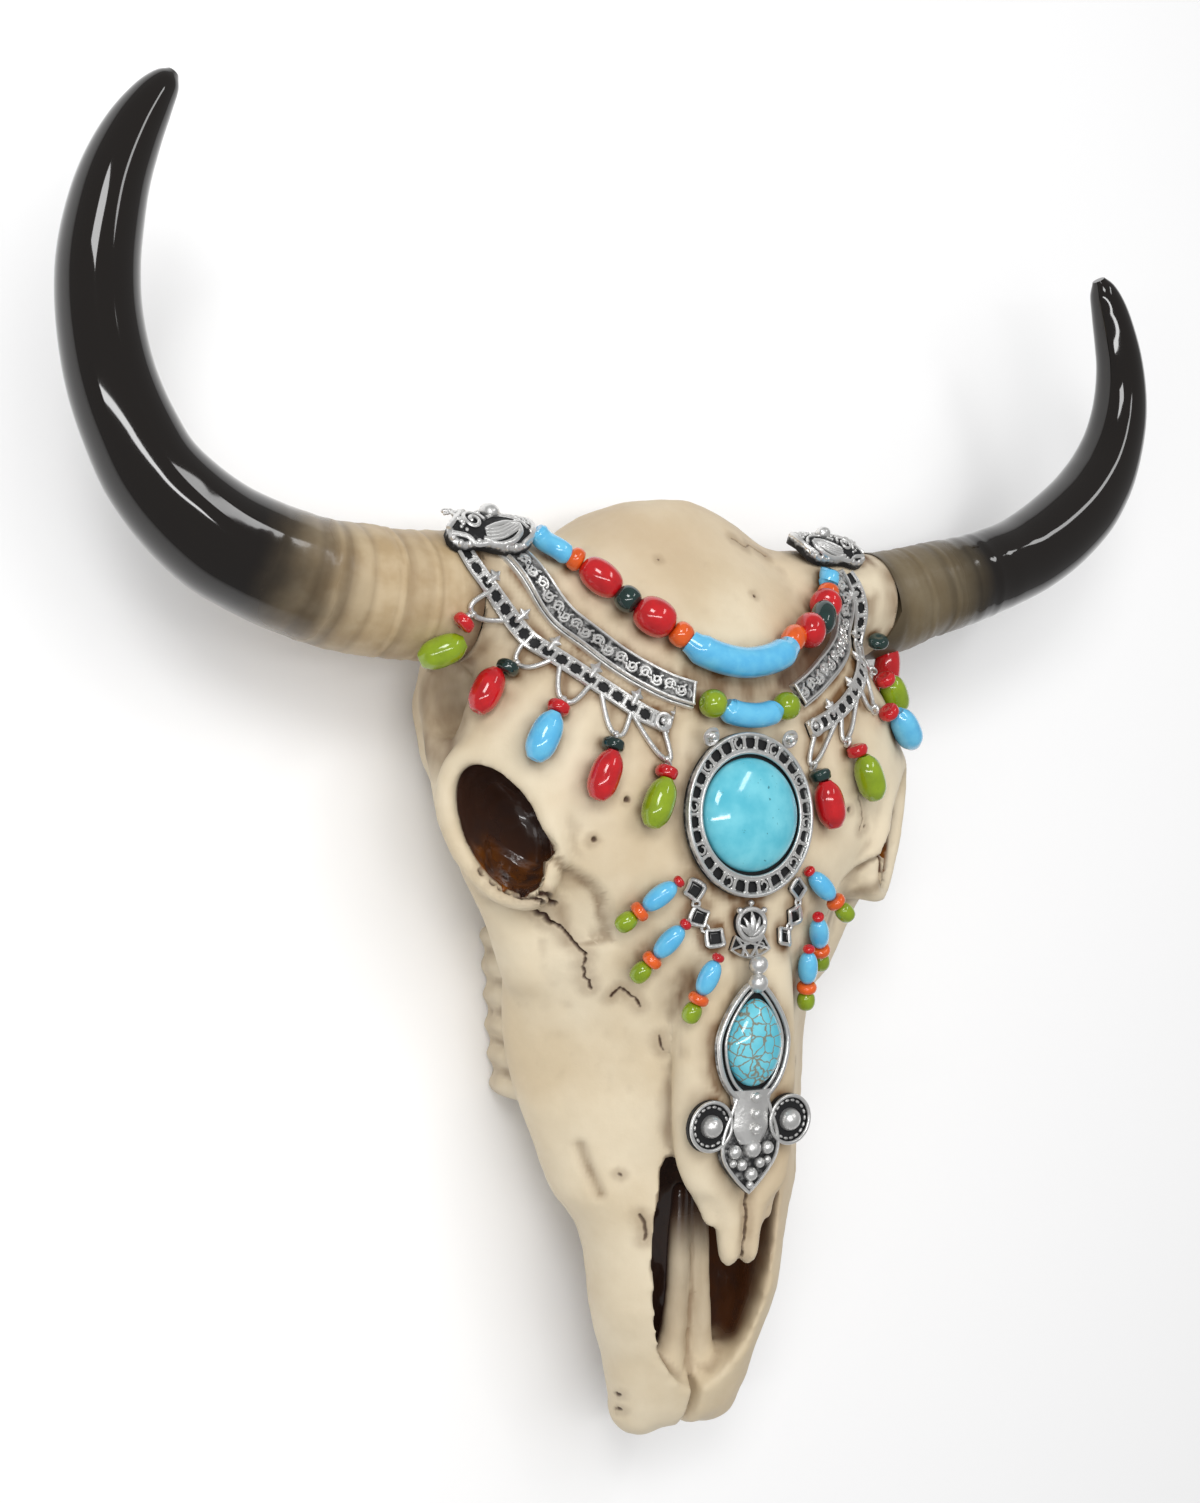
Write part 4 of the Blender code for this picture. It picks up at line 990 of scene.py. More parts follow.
    # Cracks seen from above: half width, depth, darkness, then x and y of their points
    cracks: tuple = (
        (0.85, 1.3, 1.0, ((-60.6, -20.4), (-57.6, -21.6), (-54.0, -23.4), (-50.8, -25.3), (-47.2, -28.0))),
        (0.55, 0.9, 1.0, ((-47.2, -28.0), (-43.5, -31.0), (-41.0, -34.6), (-39.7, -36.4))),
        (0.45, 0.7, 0.9, ((-39.7, -36.4), (-39.6, -39.3), (-38.7, -42.6), (-36.6, -46.1))),
        (1.1, 1.3, 1.0, ((-58.4, -19.6), (-54.8, -20.6), (-50.6, -22.2), (-47.8, -23.2))),
        (0.45, 0.6, 0.95, ((-32.4, -48.3), (-30.9, -45.6), (-29.8, -47.2), (-27.1, -48.3), (-25.8, -50.7))),
        (0.4, 0.5, 0.9, ((-20.7, -58.6), (-20.3, -60.7), (-19.5, -62.6))),
        (0.6, 0.7, 0.8, ((-23.8, -106.8), (-22.4, -110.0), (-22.2, -113.6))),
        (0.45, 0.4, 0.6, ((42.0, 6.0), (44.5, -0.5), (43.6, -4.0))),
        (0.4, 0.4, 0.6, ((28.0, -36.0), (31.5, -33.0), (37.0, -31.0), (41.0, -27.5))),
        (0.35, 0.35, 0.6, ((24.0, 76.0), (19.0, 78.5), (16.0, 78.0), (12.0, 80.0))),
        (0.5, 0.8, 0.8, ((1.4, -98.0), (1.5, -106.0), (1.5, -114.0), (1.4, -121.0))),
    )
    # Small pits seen from above: x, y, radius, depth
    pits: tuple = (
        (-35.3, 3.9, 1.1, 1.0), (-43.4, -6.5, 0.9, 0.8), (-21.1, -158.7, 0.7, 0.5),
        (-20.0, -163.3, 0.7, 0.5), (-62.4, -19.4, 1.3, 1.4), (-65.4, -17.2, 1.2, 1.2),
        (-60.0, -20.8, 1.0, 1.2), (-67.9, -14.2, 1.4, 1.3), (-57.6, -20.0, 1.3, 1.5),
        (-63.8, -18.9, 0.8, 1.0), (38.6, 1.8, 1.1, 0.8), (46.0, -3.0, 0.8, 0.7),
        (-28.0, -96.0, 0.7, 0.4), (12.0, 62.0, 0.6, 0.4), (-16.0, 71.0, 0.6, 0.4),
        (30.0, -70.0, 0.8, 0.5),
    )
    # Lines seen from above: the brow's edge, the cheek's hole and seam, and two painted shades
    brow_edge: tuple = (
        (56.5, -8.0), (49.8, -12.2), (44.5, -14.8), (39.0, -19.1), (36.3, -24.9), (34.5, -29.5),
    )
    brow_step: float = 3.2
    face_hole: tuple = ((36.4, -88.5), (35.0, -94.0), (32.6, -101.5))
    side_seam: tuple = ((21.5, -40.0), (20.6, -49.1), (18.9, -62.6), (18.7, -75.7), (18.2, -89.0))
    bar_shade: tuple = (
        (17.0, 37.4), (21.0, 40.0), (27, 44.6), (33.0, 49.6), (37.8, 54.2), (40.6, 58.5), (41.2, 63.0),
    )
    strand_shade: tuple = (
        (-14.0, 38.0), (-6.0, 35.0), (4.0, 34.4), (14.0, 36.4), (22.0, 41.0), (30.0, 47.0),
    )

    def head_ring(self, section: Sequence[float]) -> np.ndarray:
        """One cross section of the main mass."""
        y, half, side, top, under, squareness = section
        angles = turns(self.ring_points)
        up, out = np.sin(angles), np.cos(angles)
        upper = np.where(up >= 0, 2 / squareness, 0.75)
        height = np.where(up >= 0, top - side, side - under)
        rise = np.where((up < 0) | (squareness >= 2), 1.0, upper)
        x = half * np.sign(out) * np.abs(out) ** upper
        z = side + height * np.sign(up) * np.abs(up) ** rise
        return np.stack([x, np.full_like(x, y), z], axis=1)

    @staticmethod
    def loft(rings: list[np.ndarray]) -> Shape:
        """A closed skin over rings of equal length."""
        return np.vstack(rings), grid_faces(len(rings), len(rings[0]), False, True)

    @staticmethod
    def oval_ball(centre: Sequence[float], half: Sequence[float], turn: Matrix | None = None) -> Shape:
        """An ellipsoid with its half sizes along the axes of turn."""
        points, faces = ball((0, 0, 0), 1.0, 24)
        turning = np.array((turn or Matrix.Identity(4)).to_3x3())
        return (points * np.array(half)) @ turning.T + np.array(centre), faces

    def bone(self, run: Run) -> list[Shape]:
        """A round bone along (x, y, z, radius), with ball ends."""
        rows = np.array(run, float)
        ends = [self.oval_ball(row[:3], (row[3],) * 3) for row in (rows[0], rows[-1])]
        return [tube(rows[:, :3], rows[:, 3], 14), *ends]

    def orbit_frame(self, side: int) -> Matrix:
        """The frame of an eye socket: local Z looks out of it."""
        facing = Vector((side * self.orbit_facing[0], *self.orbit_facing[1:])).normalized()
        across = Vector((0, 1, 0)).cross(facing).normalized()
        along = facing.cross(across)
        turn = Matrix((across, along, facing)).transposed().to_4x4()
        centre = Vector((side * self.orbit_centre[0], *self.orbit_centre[1:]))
        return Matrix.Translation(centre) @ turn @ Matrix.Rotation(-side * self.orbit_tilt, 4, "Z")

    def orbit_ball(self, side: int, grow_by: float) -> Shape:
        """The socket's hollow, or with grow_by the cup of bone behind it."""
        half = (self.orbit_half[0] + grow_by, self.orbit_half[1] + grow_by,
                self.orbit_depth + grow_by * 0.5)
        points, faces = self.oval_ball((0, 0, 0), half)
        if grow_by:
            points[:, 2] = np.minimum(points[:, 2], 0.0)
        place = np.array(self.orbit_frame(side))
        return points @ place[:3, :3].T + place[:3, 3], faces

    def orbit_rim(self, side: int) -> Shape:
        """The ring of bone round a socket."""
        angles = turns(40)
        outward = level(oval(40, (1, 1)), 0.0)
        half = np.array([*(size + self.rim_thickness * 0.7 for size in self.orbit_half), 0.0])
        thick = self.rim_thickness * (0.82 + 0.18 * np.sin(angles))
        rows = []
        for middle, out, size in zip(outward * half, outward, thick):
            turn = turns(12)
            ring = np.outer(np.cos(turn), out) + np.outer(np.sin(turn) * 1.25, (0, 0, 1.0))
            rows.append(middle + ring * size - np.array((0, 0, self.rim_sink)))
        place = np.array(self.orbit_frame(side))
        points = np.vstack(rows) @ place[:3, :3].T + place[:3, 3]
        return points, grid_faces(40, 12, True, False)

    @staticmethod
    def on_side(run: Run, side: int) -> list:
        """The run on its own side of the midline, or on the other one."""
        return [(side * x, *rest) for x, *rest in run]

    def tooth(self, side: int, number: int, out: float, height: float) -> tuple[float, float, float]:
        """A tooth's middle."""
        x = side * (self.tooth_x + out - 0.5 * number)
        return x, self.tooth_first_y - self.tooth_pitch * number, height

    def mass(self) -> list[Shape]:
        """The overlapping shapes that the skull grows from."""
        fine = smooth_sections(self.sections)
        shapes = [self.loft([self.head_ring(section) for section in fine])]
        for side in (1, -1):
            for run in (self.cheek_arch, self.temple, self.side_process, self.wing):
                shapes.extend(self.bone(self.on_side(run, side)))
            shapes.append(self.orbit_rim(side))
            shapes.append(self.orbit_ball(side, 5.0))
            shapes.extend(self.bone(self.on_side(self.ledge, side)))
            shapes.append(self.oval_ball((side * 14, 66, 13), (10, 12, 12)))
            for i in range(self.tooth_count):
                shapes.append(self.oval_ball(self.tooth(side, i, 0.0, 12), self.tooth_half))
        for side, y, z, radius in self.horn_seats:
            boss = ((side * 34, y - 4, z, radius + 2), (side * 52, y - 1, z, radius + 0.8),
                    (side * self.horn_seat_x, y, z, radius - 0.4))
            shapes.extend(self.bone(boss))
        shapes.extend(self.bone(self.keel))
        return shapes

    def hollows(self) -> list[Shape]:
        """The shapes that are taken out of the mass."""
        rings = []
        for y, half, floor, roof in self.nasal_cavity:
            out, up = oval(28, (1, 1)).T
            x = half * np.sign(out) * np.abs(out) ** 0.45
            z = (floor + roof) / 2 + (roof - floor) / 2 * np.sign(up) * np.abs(up) ** 0.6
            rings.append(np.stack([x, np.full(28, y), z], axis=1))
        shapes = [self.loft(rings)]
        for side in (1, -1):
            shapes.append(self.orbit_ball(side, 0.0))
            turn = Matrix.Rotation(-side * self.corner_turn, 4, "Z")
            shapes.append(self.oval_ball((side * self.corner[0], *self.corner[1:]), self.corner_half, turn))
            turn = Matrix.Rotation(side * math.radians(8), 4, "Y")
            shapes.append(self.oval_ball((side * 78, 31, 37), (21, 11, 8.5), turn))
        shapes.append(self.oval_ball((0, -84, 2), (33, 70, 15)))
        shapes.append(self.oval_ball((0, 80, 20), (9, 22, 9)))
        shapes.append(self.oval_ball((0, -172, 42), (1.8, 20, 17)))
        return shapes

    def details(self) -> list[Shape]:
        """The thin bones that are added once the nose is hollow."""
        shapes = []
        for side in (1, -1):
            rings = []
            for y, x, z, half, thick in smooth_sections(self.nasal_sections):
                ring = oval(24, (half, thick), (side * x, z))
                rings.append(np.stack([ring[:, 0], np.full(24, y), ring[:, 1]], axis=1))
            shapes.append(self.loft(rings))
            for run in (self.nasal_spur, self.medial_bar):
                shapes.extend(self.bone(self.on_side(run, side)))
        for points, _ in shapes:
            points[:, 0] += self.nasal_drift * smooth_step(-points[:, 1], 92.0, 110.0) * (points[:, 2] > 58)
        for side in (1, -1):
            for i in range(self.tooth_count):
                shapes.append(self.oval_ball(self.tooth(side, i, 1.0, 13), self.crown_half))
            end = (side * self.muzzle_end[0], *self.muzzle_end[1:])
            shapes.append(self.oval_ball(end, self.muzzle_end_half))
        return shapes

    def flat_cuts(self) -> list[Shape]:
        """The shapes that cut it flat, beyond each horn seat and below the rest plane."""
        shapes = []
        for side, y, z, radius in self.horn_seats:
            ends = np.array([(side * self.horn_seat_x, y, z), (side * (self.horn_seat_x + 50), y, z)])
            shapes.append(tube(ends, radius + 2, 40))
        corners = np.array([(-250, -250), (250, -250), (250, 250), (-250, 250)], float)
        shapes.append(plate(corners, -500, 0))
        return shapes

    def build(self, finish: bpy.types.Material) -> bpy.types.Object:
        """Fuse, hollow, refine and mark the skull.

        Args:
            finish: the bone's material.

        Returns:
            The finished object.
        """
        skull = raw_object("cow_skull", self.mass())
        remesh(skull, self.first_voxel, 9)
        for hollow in self.hollows():
            carve(skull, hollow)
        thin = raw_object("details", self.details())
        shape = bmesh.new()
        shape.from_mesh(skull.data)
        shape.from_mesh(thin.data)
        shape.to_mesh(skull.data)
        shape.free()
        bpy.data.objects.remove(thin)
        remesh(skull, self.last_voxel, 7)
        for shape in self.flat_cuts():
            carve(skull, shape)
        self.refine(skull)
        self.mark(skull)
        skull.data.materials.clear()
        skull.data.materials.append(finish)
        skull.data.shade_smooth()
        return skull

    def crack_lines(self) -> list[tuple[float, float, float, np.ndarray]]:
        """Each crack with a smooth, slightly ragged line."""
        lines = []
        for number, (half, depth, dark, run) in enumerate(self.cracks):
            count = max(8, int(np.linalg.norm(np.diff(np.array(run), axis=0), axis=1).sum() * 1.5))
            line = smooth_run(run, count)
            lumps = np.column_stack([line, np.full(count, number * 9.0)])
            sway = np.stack([soft_noise(lumps, 1.6, 3), soft_noise(lumps, 1.6, 5)], axis=1)
            lines.append((half, depth, dark, line + sway * 0.45))
        return lines

    def refine(self, skull: bpy.types.Object) -> None:
        """Split the skin finely along the cracks and pits."""
        for limit in (2.6, 1.9):
            points, normals = mesh_arrays(skull.data)
            near = np.full(len(points), 99.0)
            for half, _, _, line in self.crack_lines():
                near = np.minimum(near, line_distance(points[:, :2], line) - half)
            for x, y, radius, _ in self.pits:
                near = np.minimum(near, np.hypot(points[:, 0] - x, points[:, 1] - y) - radius)
            wanted = (near < limit) & (normals[:, 2] > 0.1) & (points[:, 2] > 34)
            shape = bmesh.new()
            shape.from_mesh(skull.data)
            shape.verts.ensure_lookup_table()
            faces = [face for face in shape.faces if any(wanted[vert.index] for vert in face.verts)]
            edges = list({edge for face in faces for edge in face.edges})
            bmesh.ops.subdivide_edges(shape, edges=edges, cuts=1, use_grid_fill=True)
            shape.to_mesh(skull.data)
            shape.free()

    def mark(self, skull: bpy.types.Object) -> None:
        """Sink the cracks, pits and seams, and keep the brown wash and painted shade at each point."""
        mesh = skull.data
        points, normals = mesh_arrays(mesh)
        flat = points[:, :2]
        upper = smooth_step(normals[:, 2], 0.0, 0.25) * smooth_step(points[:, 2], 30.0, 36.0)
        aside, along, height = np.abs(points[:, 0]), points[:, 1], points[:, 2]
        in_nose = (aside < 20) & (along > -150) & (along < -95) & (height < 57)
        upper = upper * ~in_nose
        sink = np.zeros(len(points))
        crack_and_shadow = np.zeros(len(points))
        wash_and_shade = np.zeros(len(points))
        for half, depth, dark, line in self.crack_lines():
            away = line_distance(flat, line) + 0.18 * soft_noise(points, 0.7, 11)
            groove = (1 - smooth_step(away, half * 0.15, half)) * upper
            sink += depth * groove
            crack_and_shadow = np.maximum(crack_and_shadow, groove * dark)
            wash_and_shade = np.maximum(wash_and_shade, 0.38 * (1 - smooth_step(away, half, half + 3.2)) * upper)
        for x, y, radius, depth in self.pits:
            away = np.hypot(flat[:, 0] - x, flat[:, 1] - y) + 0.35 * soft_noise(points, 1.1, 23)
            hole = (1 - smooth_step(away, radius * 0.3, radius)) * upper
            sink += depth * hole
            crack_and_shadow = np.maximum(crack_and_shadow, hole * 0.92)
            wash_and_shade = np.maximum(wash_and_shade, 0.3 * (1 - smooth_step(away, radius, radius + 2.2)) * upper)
        near = np.abs(points)
        side_line = smooth_run(self.side_seam, 40)
        away = line_distance(near[:, :2], side_line) + 0.3 * soft_noise(points, 2.2, 31)
        seam = (1 - smooth_step(away, 0.2, 1.5)) * upper
        sink += 0.7 * seam
        wash_and_shade = np.maximum(wash_and_shade, 0.5 * (1 - smooth_step(away, 0.3, 3.4)) * upper)
        hole_line = smooth_run([(x, -y) for x, y in self.face_hole], 12)
        away = line_distance(near[:, :2], hole_line)
        dent = (1 - smooth_step(away, 0.1, 2.3)) * upper * (points[:, 1] < 0)
        sink += 1.1 * dent
        # Painted shade in the cheek's dent.
        wash_and_shade = np.maximum(wash_and_shade, 0.3 * dent)
        # Painted shadow: a dark band beside the right bar, also in the crack colour.
        shaded = line_distance(flat, smooth_run(self.bar_shade, 30)) + 0.4 * soft_noise(points, 2.4, 101)
        shade = (1 - smooth_step(shaded, 1.6, 4.6)) * upper
        wash_and_shade = np.maximum(wash_and_shade, shade)
        crack_and_shadow = np.maximum(crack_and_shadow, 0.66 * shade)
        # Painted shade: a broad darker band under the strand.
        shaded = line_distance(flat, smooth_run(self.strand_shade, 30)) + 0.8 * soft_noise(points, 4.0, 103)
        wash_and_shade = np.maximum(wash_and_shade, 0.78 * (1 - smooth_step(shaded, 1.5, 7.0)) * upper)
        drop = self.brow_drop(points) * upper
        slope = smooth_step(drop, 0.6, 2.2) * (1 - smooth_step(drop, 2.2, 3.1))
        # Painted shade on the step's face below the brow's edge.
        wash_and_shade = np.maximum(wash_and_shade, 0.55 * slope * upper)
        lumps = 0.30 * soft_noise(points, 9.0, 41) + 0.14 * soft_noise(points, 3.6, 43)
        lumps += 0.05 * soft_noise(points, 1.7, 47)
        resting = smooth_step(points[:, 2], 0.6, 3.0)
        moved = points + normals * ((lumps - sink) * resting)[:, None]
        moved[:, 2] -= drop
        mesh.vertices.foreach_set("co", (moved * MM).ravel())
        mesh.update()
        # Brown wash and painted shade in the hollows.
        hollow = concavity(mesh, 6)
        wash_and_shade = np.maximum(wash_and_shade, np.clip(hollow * 1.5 - 0.06, 0, 0.62))
        socket, amber = self.socket_marks(points)
        nose, bar, brown = self.nose_marks(points)
        # The nose's brown wash and painted shade, then the stains and painted shade at the edges.
        wash_and_shade = np.maximum(np.maximum(wash_and_shade, bar), self.stain_and_shade(points, normals))
        for name, values in (("brown", np.maximum(brown, np.where(socket > 0, 0.45, 0.0))), ("crack_and_shadow", crack_and_shadow),
                             ("wash_and_shade", wash_and_shade), ("gloss", np.maximum(socket, nose)), ("amber", amber)):
            keep(mesh, name, np.clip(values, 0, 1))

    def brow_drop(self, points: np.ndarray) -> np.ndarray:
        """How far the cheek lies below the brow's edge at each point."""
        line = smooth_run(self.brow_edge, 30)
        flat = np.stack([np.abs(points[:, 0]), points[:, 1]], axis=1)
        gaps = flat[:, None, :] - line[None, :, :]
        closest = np.argmin((gaps**2).sum(axis=2), axis=1)
        ahead = unit(np.gradient(line, axis=0))[closest]
        offset = flat - line[closest]
        beside = offset[:, 0] * -ahead[:, 1] + offset[:, 1] * ahead[:, 0]
        beside = beside + 0.5 * soft_noise(points, 4.0, 53)
        ends = np.abs(offset[:, 0] * ahead[:, 0] + offset[:, 1] * ahead[:, 1])
        step = smooth_step(beside, -0.3, 1.3) * (1 - smooth_step(beside, 4.0, 17.0))
        return self.brow_step * step * (1 - smooth_step(ends, 0.5, 6.0))

    def socket_marks(self, points: np.ndarray) -> tuple[np.ndarray, np.ndarray]:
        """How glossy and how amber each point is inside the eye sockets."""
        gloss = np.zeros(len(points))
        amber = np.zeros(len(points))
        for side in (1, -1):
            back = np.array(self.orbit_frame(side).inverted())
            local = points @ back[:3, :3].T + back[:3, 3]
            half = np.array((*self.orbit_half, self.orbit_depth)) + 1.6
            inside = ((local / half) ** 2).sum(axis=1) < 1.0
            ragged = 0.9 * soft_noise(points, 2.2, 61) + 0.5 * soft_noise(points, 0.9, 67)
            low = smooth_step(-local[:, 1], 6.0, 15.0)
            edge = -local[:, 2] + ragged * (0.25 + low)
            inner = inside * smooth_step(edge, 0.5, 1.7)
            gloss = np.maximum(gloss, inner)
            rim = ((local[:, :2] / half[:2]) ** 2).sum(axis=1)
            outer = smooth_step(side * local[:, 0], -5.0, 5.0) * smooth_step(-local[:, 1], -4.0, 5.0)
            shade = np.maximum(outer * smooth_step(rim, 0.25, 0.7), low * 0.85)
            amber = np.maximum(amber, inner * shade)
        return gloss, amber

    def nose_marks(self, points: np.ndarray) -> tuple[np.ndarray, np.ndarray, np.ndarray]:
        """How glossy dark and how brown each point is in the nasal opening, with its brown wash and painted
        shade that deepens further in.
        """
        rows = np.array(self.nasal_cavity)[::-1]
        half = np.interp(points[:, 1], rows[:, 0], rows[:, 1])
        tops = np.array(self.sections)
        top = np.interp(points[:, 1], tops[:, 0], tops[:, 3])
        depth = top - points[:, 2] + 1.5 * soft_noise(points, 5.0, 71)
        within = (np.abs(points[:, 0]) < half + 0.9) & (points[:, 1] > -157.5) & (points[:, 1] < -86)
        within &= points[:, 2] > 22
        run = smooth_run(self.medial_bar, 40)
        ribs = np.abs(points[:, 0:1]) - run[None, :, 0]
        gaps = ribs**2 + (points[:, 1:2] - run[None, :, 1]) ** 2 + (points[:, 2:3] - run[None, :, 2]) ** 2
        closest = np.argmin(gaps, axis=1)
        away = np.sqrt(gaps.min(axis=1)) - run[closest, 3]
        bar_top = (1 - smooth_step(away, 0.6, 2.0)) * smooth_step(points[:, 2] - run[closest, 2], -1.5, 1.5)
        back = smooth_step(points[:, 1] + 2.0 * soft_noise(points, 4.0, 79), -151.0, -144.5)
        bar_top = bar_top * smooth_step(-points[:, 1], 106.0, 124.0)
        dark = within * smooth_step(depth, 4.0, 12.0) * (1 - bar_top) * back
        fade = 0.3 + 0.7 * back
        # Brown wash with painted shade, stronger deeper in the opening.
        wash_and_shade = within * smooth_step(depth, 2.0, 9.0) * (0.75 - 0.4 * bar_top) * fade
        brown = smooth_step(points[:, 0], -2.0, 6.0) * 0.55 + 0.45
        slit = 1 - smooth_step(np.abs(points[:, 0]) + 0.3 * soft_noise(points, 2.0, 97), 0.3, 1.6)
        wash_and_shade = np.maximum(wash_and_shade, 0.7 * slit * (points[:, 2] < 57) * (points[:, 1] < -100))
        return dark, wash_and_shade, brown

    def stain_and_shade(self, points: np.ndarray, normals: np.ndarray) -> np.ndarray:
        """A brown stain at the horn roots, painted shade in the recesses behind the temples and on faces that
        turn down, and darker bone towards the floor by the teeth.
        """
        stain = np.zeros(len(points))
        for side, y, z, radius in self.horn_seats:
            reach = np.hypot(points[:, 1] - y, points[:, 2] - z) < radius + 6
            stain = np.maximum(stain, reach * smooth_step(side * points[:, 0], 60.0, 69.0) * 0.8)
        mirrored = np.column_stack([np.abs(points[:, 0]), points[:, 1:]])
        apart = (mirrored - self.recess_middle) / np.array(self.recess_half)
        recess = 1 - smooth_step((apart**2).sum(axis=1), 0.6, 1.5)
        # Painted shade in the recess behind each temple.
        stain = np.maximum(stain, recess * 0.75)
        # Darker towards the floor, by the teeth.
        teeth = smooth_step(-points[:, 2], -16.0, -9.0) * 0.25
        # Painted shade on faces that turn down.
        under = smooth_step(-normals[:, 2], 0.2, 0.9) * 0.18
        uneven = 0.8 + 0.4 * soft_noise(points, 4.0, 73)
        return np.maximum(np.maximum(stain, teeth), under) * uneven


def smooth_sections(sections: Run) -> np.ndarray:
    """Sections with three smooth ones put between each two, at even places."""
    rows = np.array(sections, float)
    padded = with_ends(rows)
    fine = []
    for i in range(len(rows) - 1):
        for t in (0.0, 0.25, 0.5, 0.75):
            row = between(padded[i : i + 4], t)
            row[0] = rows[i, 0] + (rows[i + 1, 0] - rows[i, 0]) * t
            fine.append(row)
    return np.array([*fine, rows[-1]])


def raw_object(name: str, shapes: list[Shape]) -> bpy.types.Object:
    """An object that holds several shapes."""
    whole = bmesh.new()
    for shape in shapes:
        part = outward_mesh("passing", shape)
        whole.from_mesh(part)
        bpy.data.meshes.remove(part)
    mesh = bpy.data.meshes.new(name)
    whole.to_mesh(mesh)
    whole.free()
    obj = bpy.data.objects.new(name, mesh)
    bpy.context.scene.collection.objects.link(obj)
    return obj


def bake(obj: bpy.types.Object) -> None:
    """Apply the object's modifiers to its mesh."""
    bpy.context.view_layer.update()
    graph = bpy.context.evaluated_depsgraph_get()
    mesh = bpy.data.meshes.new_from_object(obj.evaluated_get(graph))
    obj.modifiers.clear()
    obj.data = mesh


def remesh(obj: bpy.types.Object, voxel: float, smoothing: int) -> None:
    """Fuse overlapping bodies into one even skin and smooth it."""
    grid = obj.modifiers.new("fuse", "REMESH")
    grid.mode = "VOXEL"
    grid.voxel_size = voxel * MM
    soften = obj.modifiers.new("soften", "SMOOTH")
    soften.factor = 0.5
    soften.iterations = smoothing
    bake(obj)


def carve(obj: bpy.types.Object, shape: Shape) -> None:
    """Take a shape out of the object."""
    cutter = raw_object("cutter", [shape])
    difference = obj.modifiers.new("carve", "BOOLEAN")
    difference.operation = "DIFFERENCE"
    difference.object = cutter
    bake(obj)
    bpy.data.objects.remove(cutter)


def mesh_arrays(mesh: bpy.types.Mesh) -> tuple[np.ndarray, np.ndarray]:
    """The mesh's points in millimetres and their normals."""
    points = np.empty(len(mesh.vertices) * 3)
    mesh.vertices.foreach_get("co", points)
    normals = np.empty(len(mesh.vertices) * 3, np.float32)
    mesh.vertex_normals.foreach_get("vector", normals)
    return points.reshape(-1, 3) / MM, normals.reshape(-1, 3).astype(float)


def line_distance(flat: np.ndarray, line: np.ndarray) -> np.ndarray:
    """Each place's distance to a line of points."""
    best = np.full(len(flat), 1e9)
    for start, end in zip(line[:-1], line[1:]):
        run = end - start
        share = np.clip(((flat - start) @ run) / max(run @ run, 1e-12), 0, 1)
        best = np.minimum(best, np.linalg.norm(flat - start - share[:, None] * run, axis=1))
    return best


def concavity(mesh: bpy.types.Mesh, rounds: int) -> np.ndarray:
    """How far each point lies in a hollow, in millimetres, after some rounds of smoothing."""
    points, normals = mesh_arrays(mesh)
    ends = np.empty(len(mesh.edges) * 2, np.int64)
    mesh.edges.foreach_get("vertices", ends)
    ends = ends.reshape(-1, 2)
    count = np.bincount(ends.ravel(), minlength=len(points))[:, None]
    even = points.copy()
    for _ in range(rounds):
        total = np.zeros_like(even)
        for axis in range(3):
            total[:, axis] += np.bincount(ends[:, 0], even[ends[:, 1], axis], len(points))
            total[:, axis] += np.bincount(ends[:, 1], even[ends[:, 0], axis], len(points))
        even = total / np.maximum(count, 1)
    return ((even - points) * normals).sum(axis=1)


@dataclass
class Horn:
    """A horn with growth rings at its root and a smooth black tip."""

    side: str
    run: tuple
    fade: float
    rings: int = 240
    around: int = 56

    def build(self, finish: bpy.types.Material) -> bpy.types.Object:
        """Loft the horn and keep its length and rings at each point.

        Args:
            finish: the horn's material.

        Returns:
            The finished object.
        """
        line = smooth_run(self.run, self.rings)
        share = np.linspace(0, 1, self.rings)
        points, faces = tube(line[:, :3], line[:, 3], self.around)
        rows = np.repeat(share, self.around)
        middle = np.repeat(line[:, :3], self.around, axis=0)
        out = unit(points - middle)
        length = np.linalg.norm(np.diff(line[:, :3], axis=0), axis=1).sum()
        travel = rows * length + 0.8 * soft_noise(points, 9.0, 5)
        course = np.outer(travel, (1, 0, 0))
        wave = soft_noise(course, 1.3, 7) + 0.4 * soft_noise(course, 3.1, 9)
        rough = 1 - smooth_step(rows, 0.10, 0.36)
        lumps = 0.25 * soft_noise(points, 7.0, 13) + 0.10 * soft_noise(points, 2.2, 17)
        points = points + out * ((0.26 * wave + lumps) * rough * smooth_step(rows, 0.0, 0.012))[:, None]
        horn = new_object(f"{self.side}_horn", (points, faces), finish)
        keep(horn.data, "along", rows)
        keep(horn.data, "fade", np.full(len(rows), self.fade))
        keep(horn.data, "ring", np.clip(-wave * 0.55 + 0.12, 0, 1) * rough)
        return horn


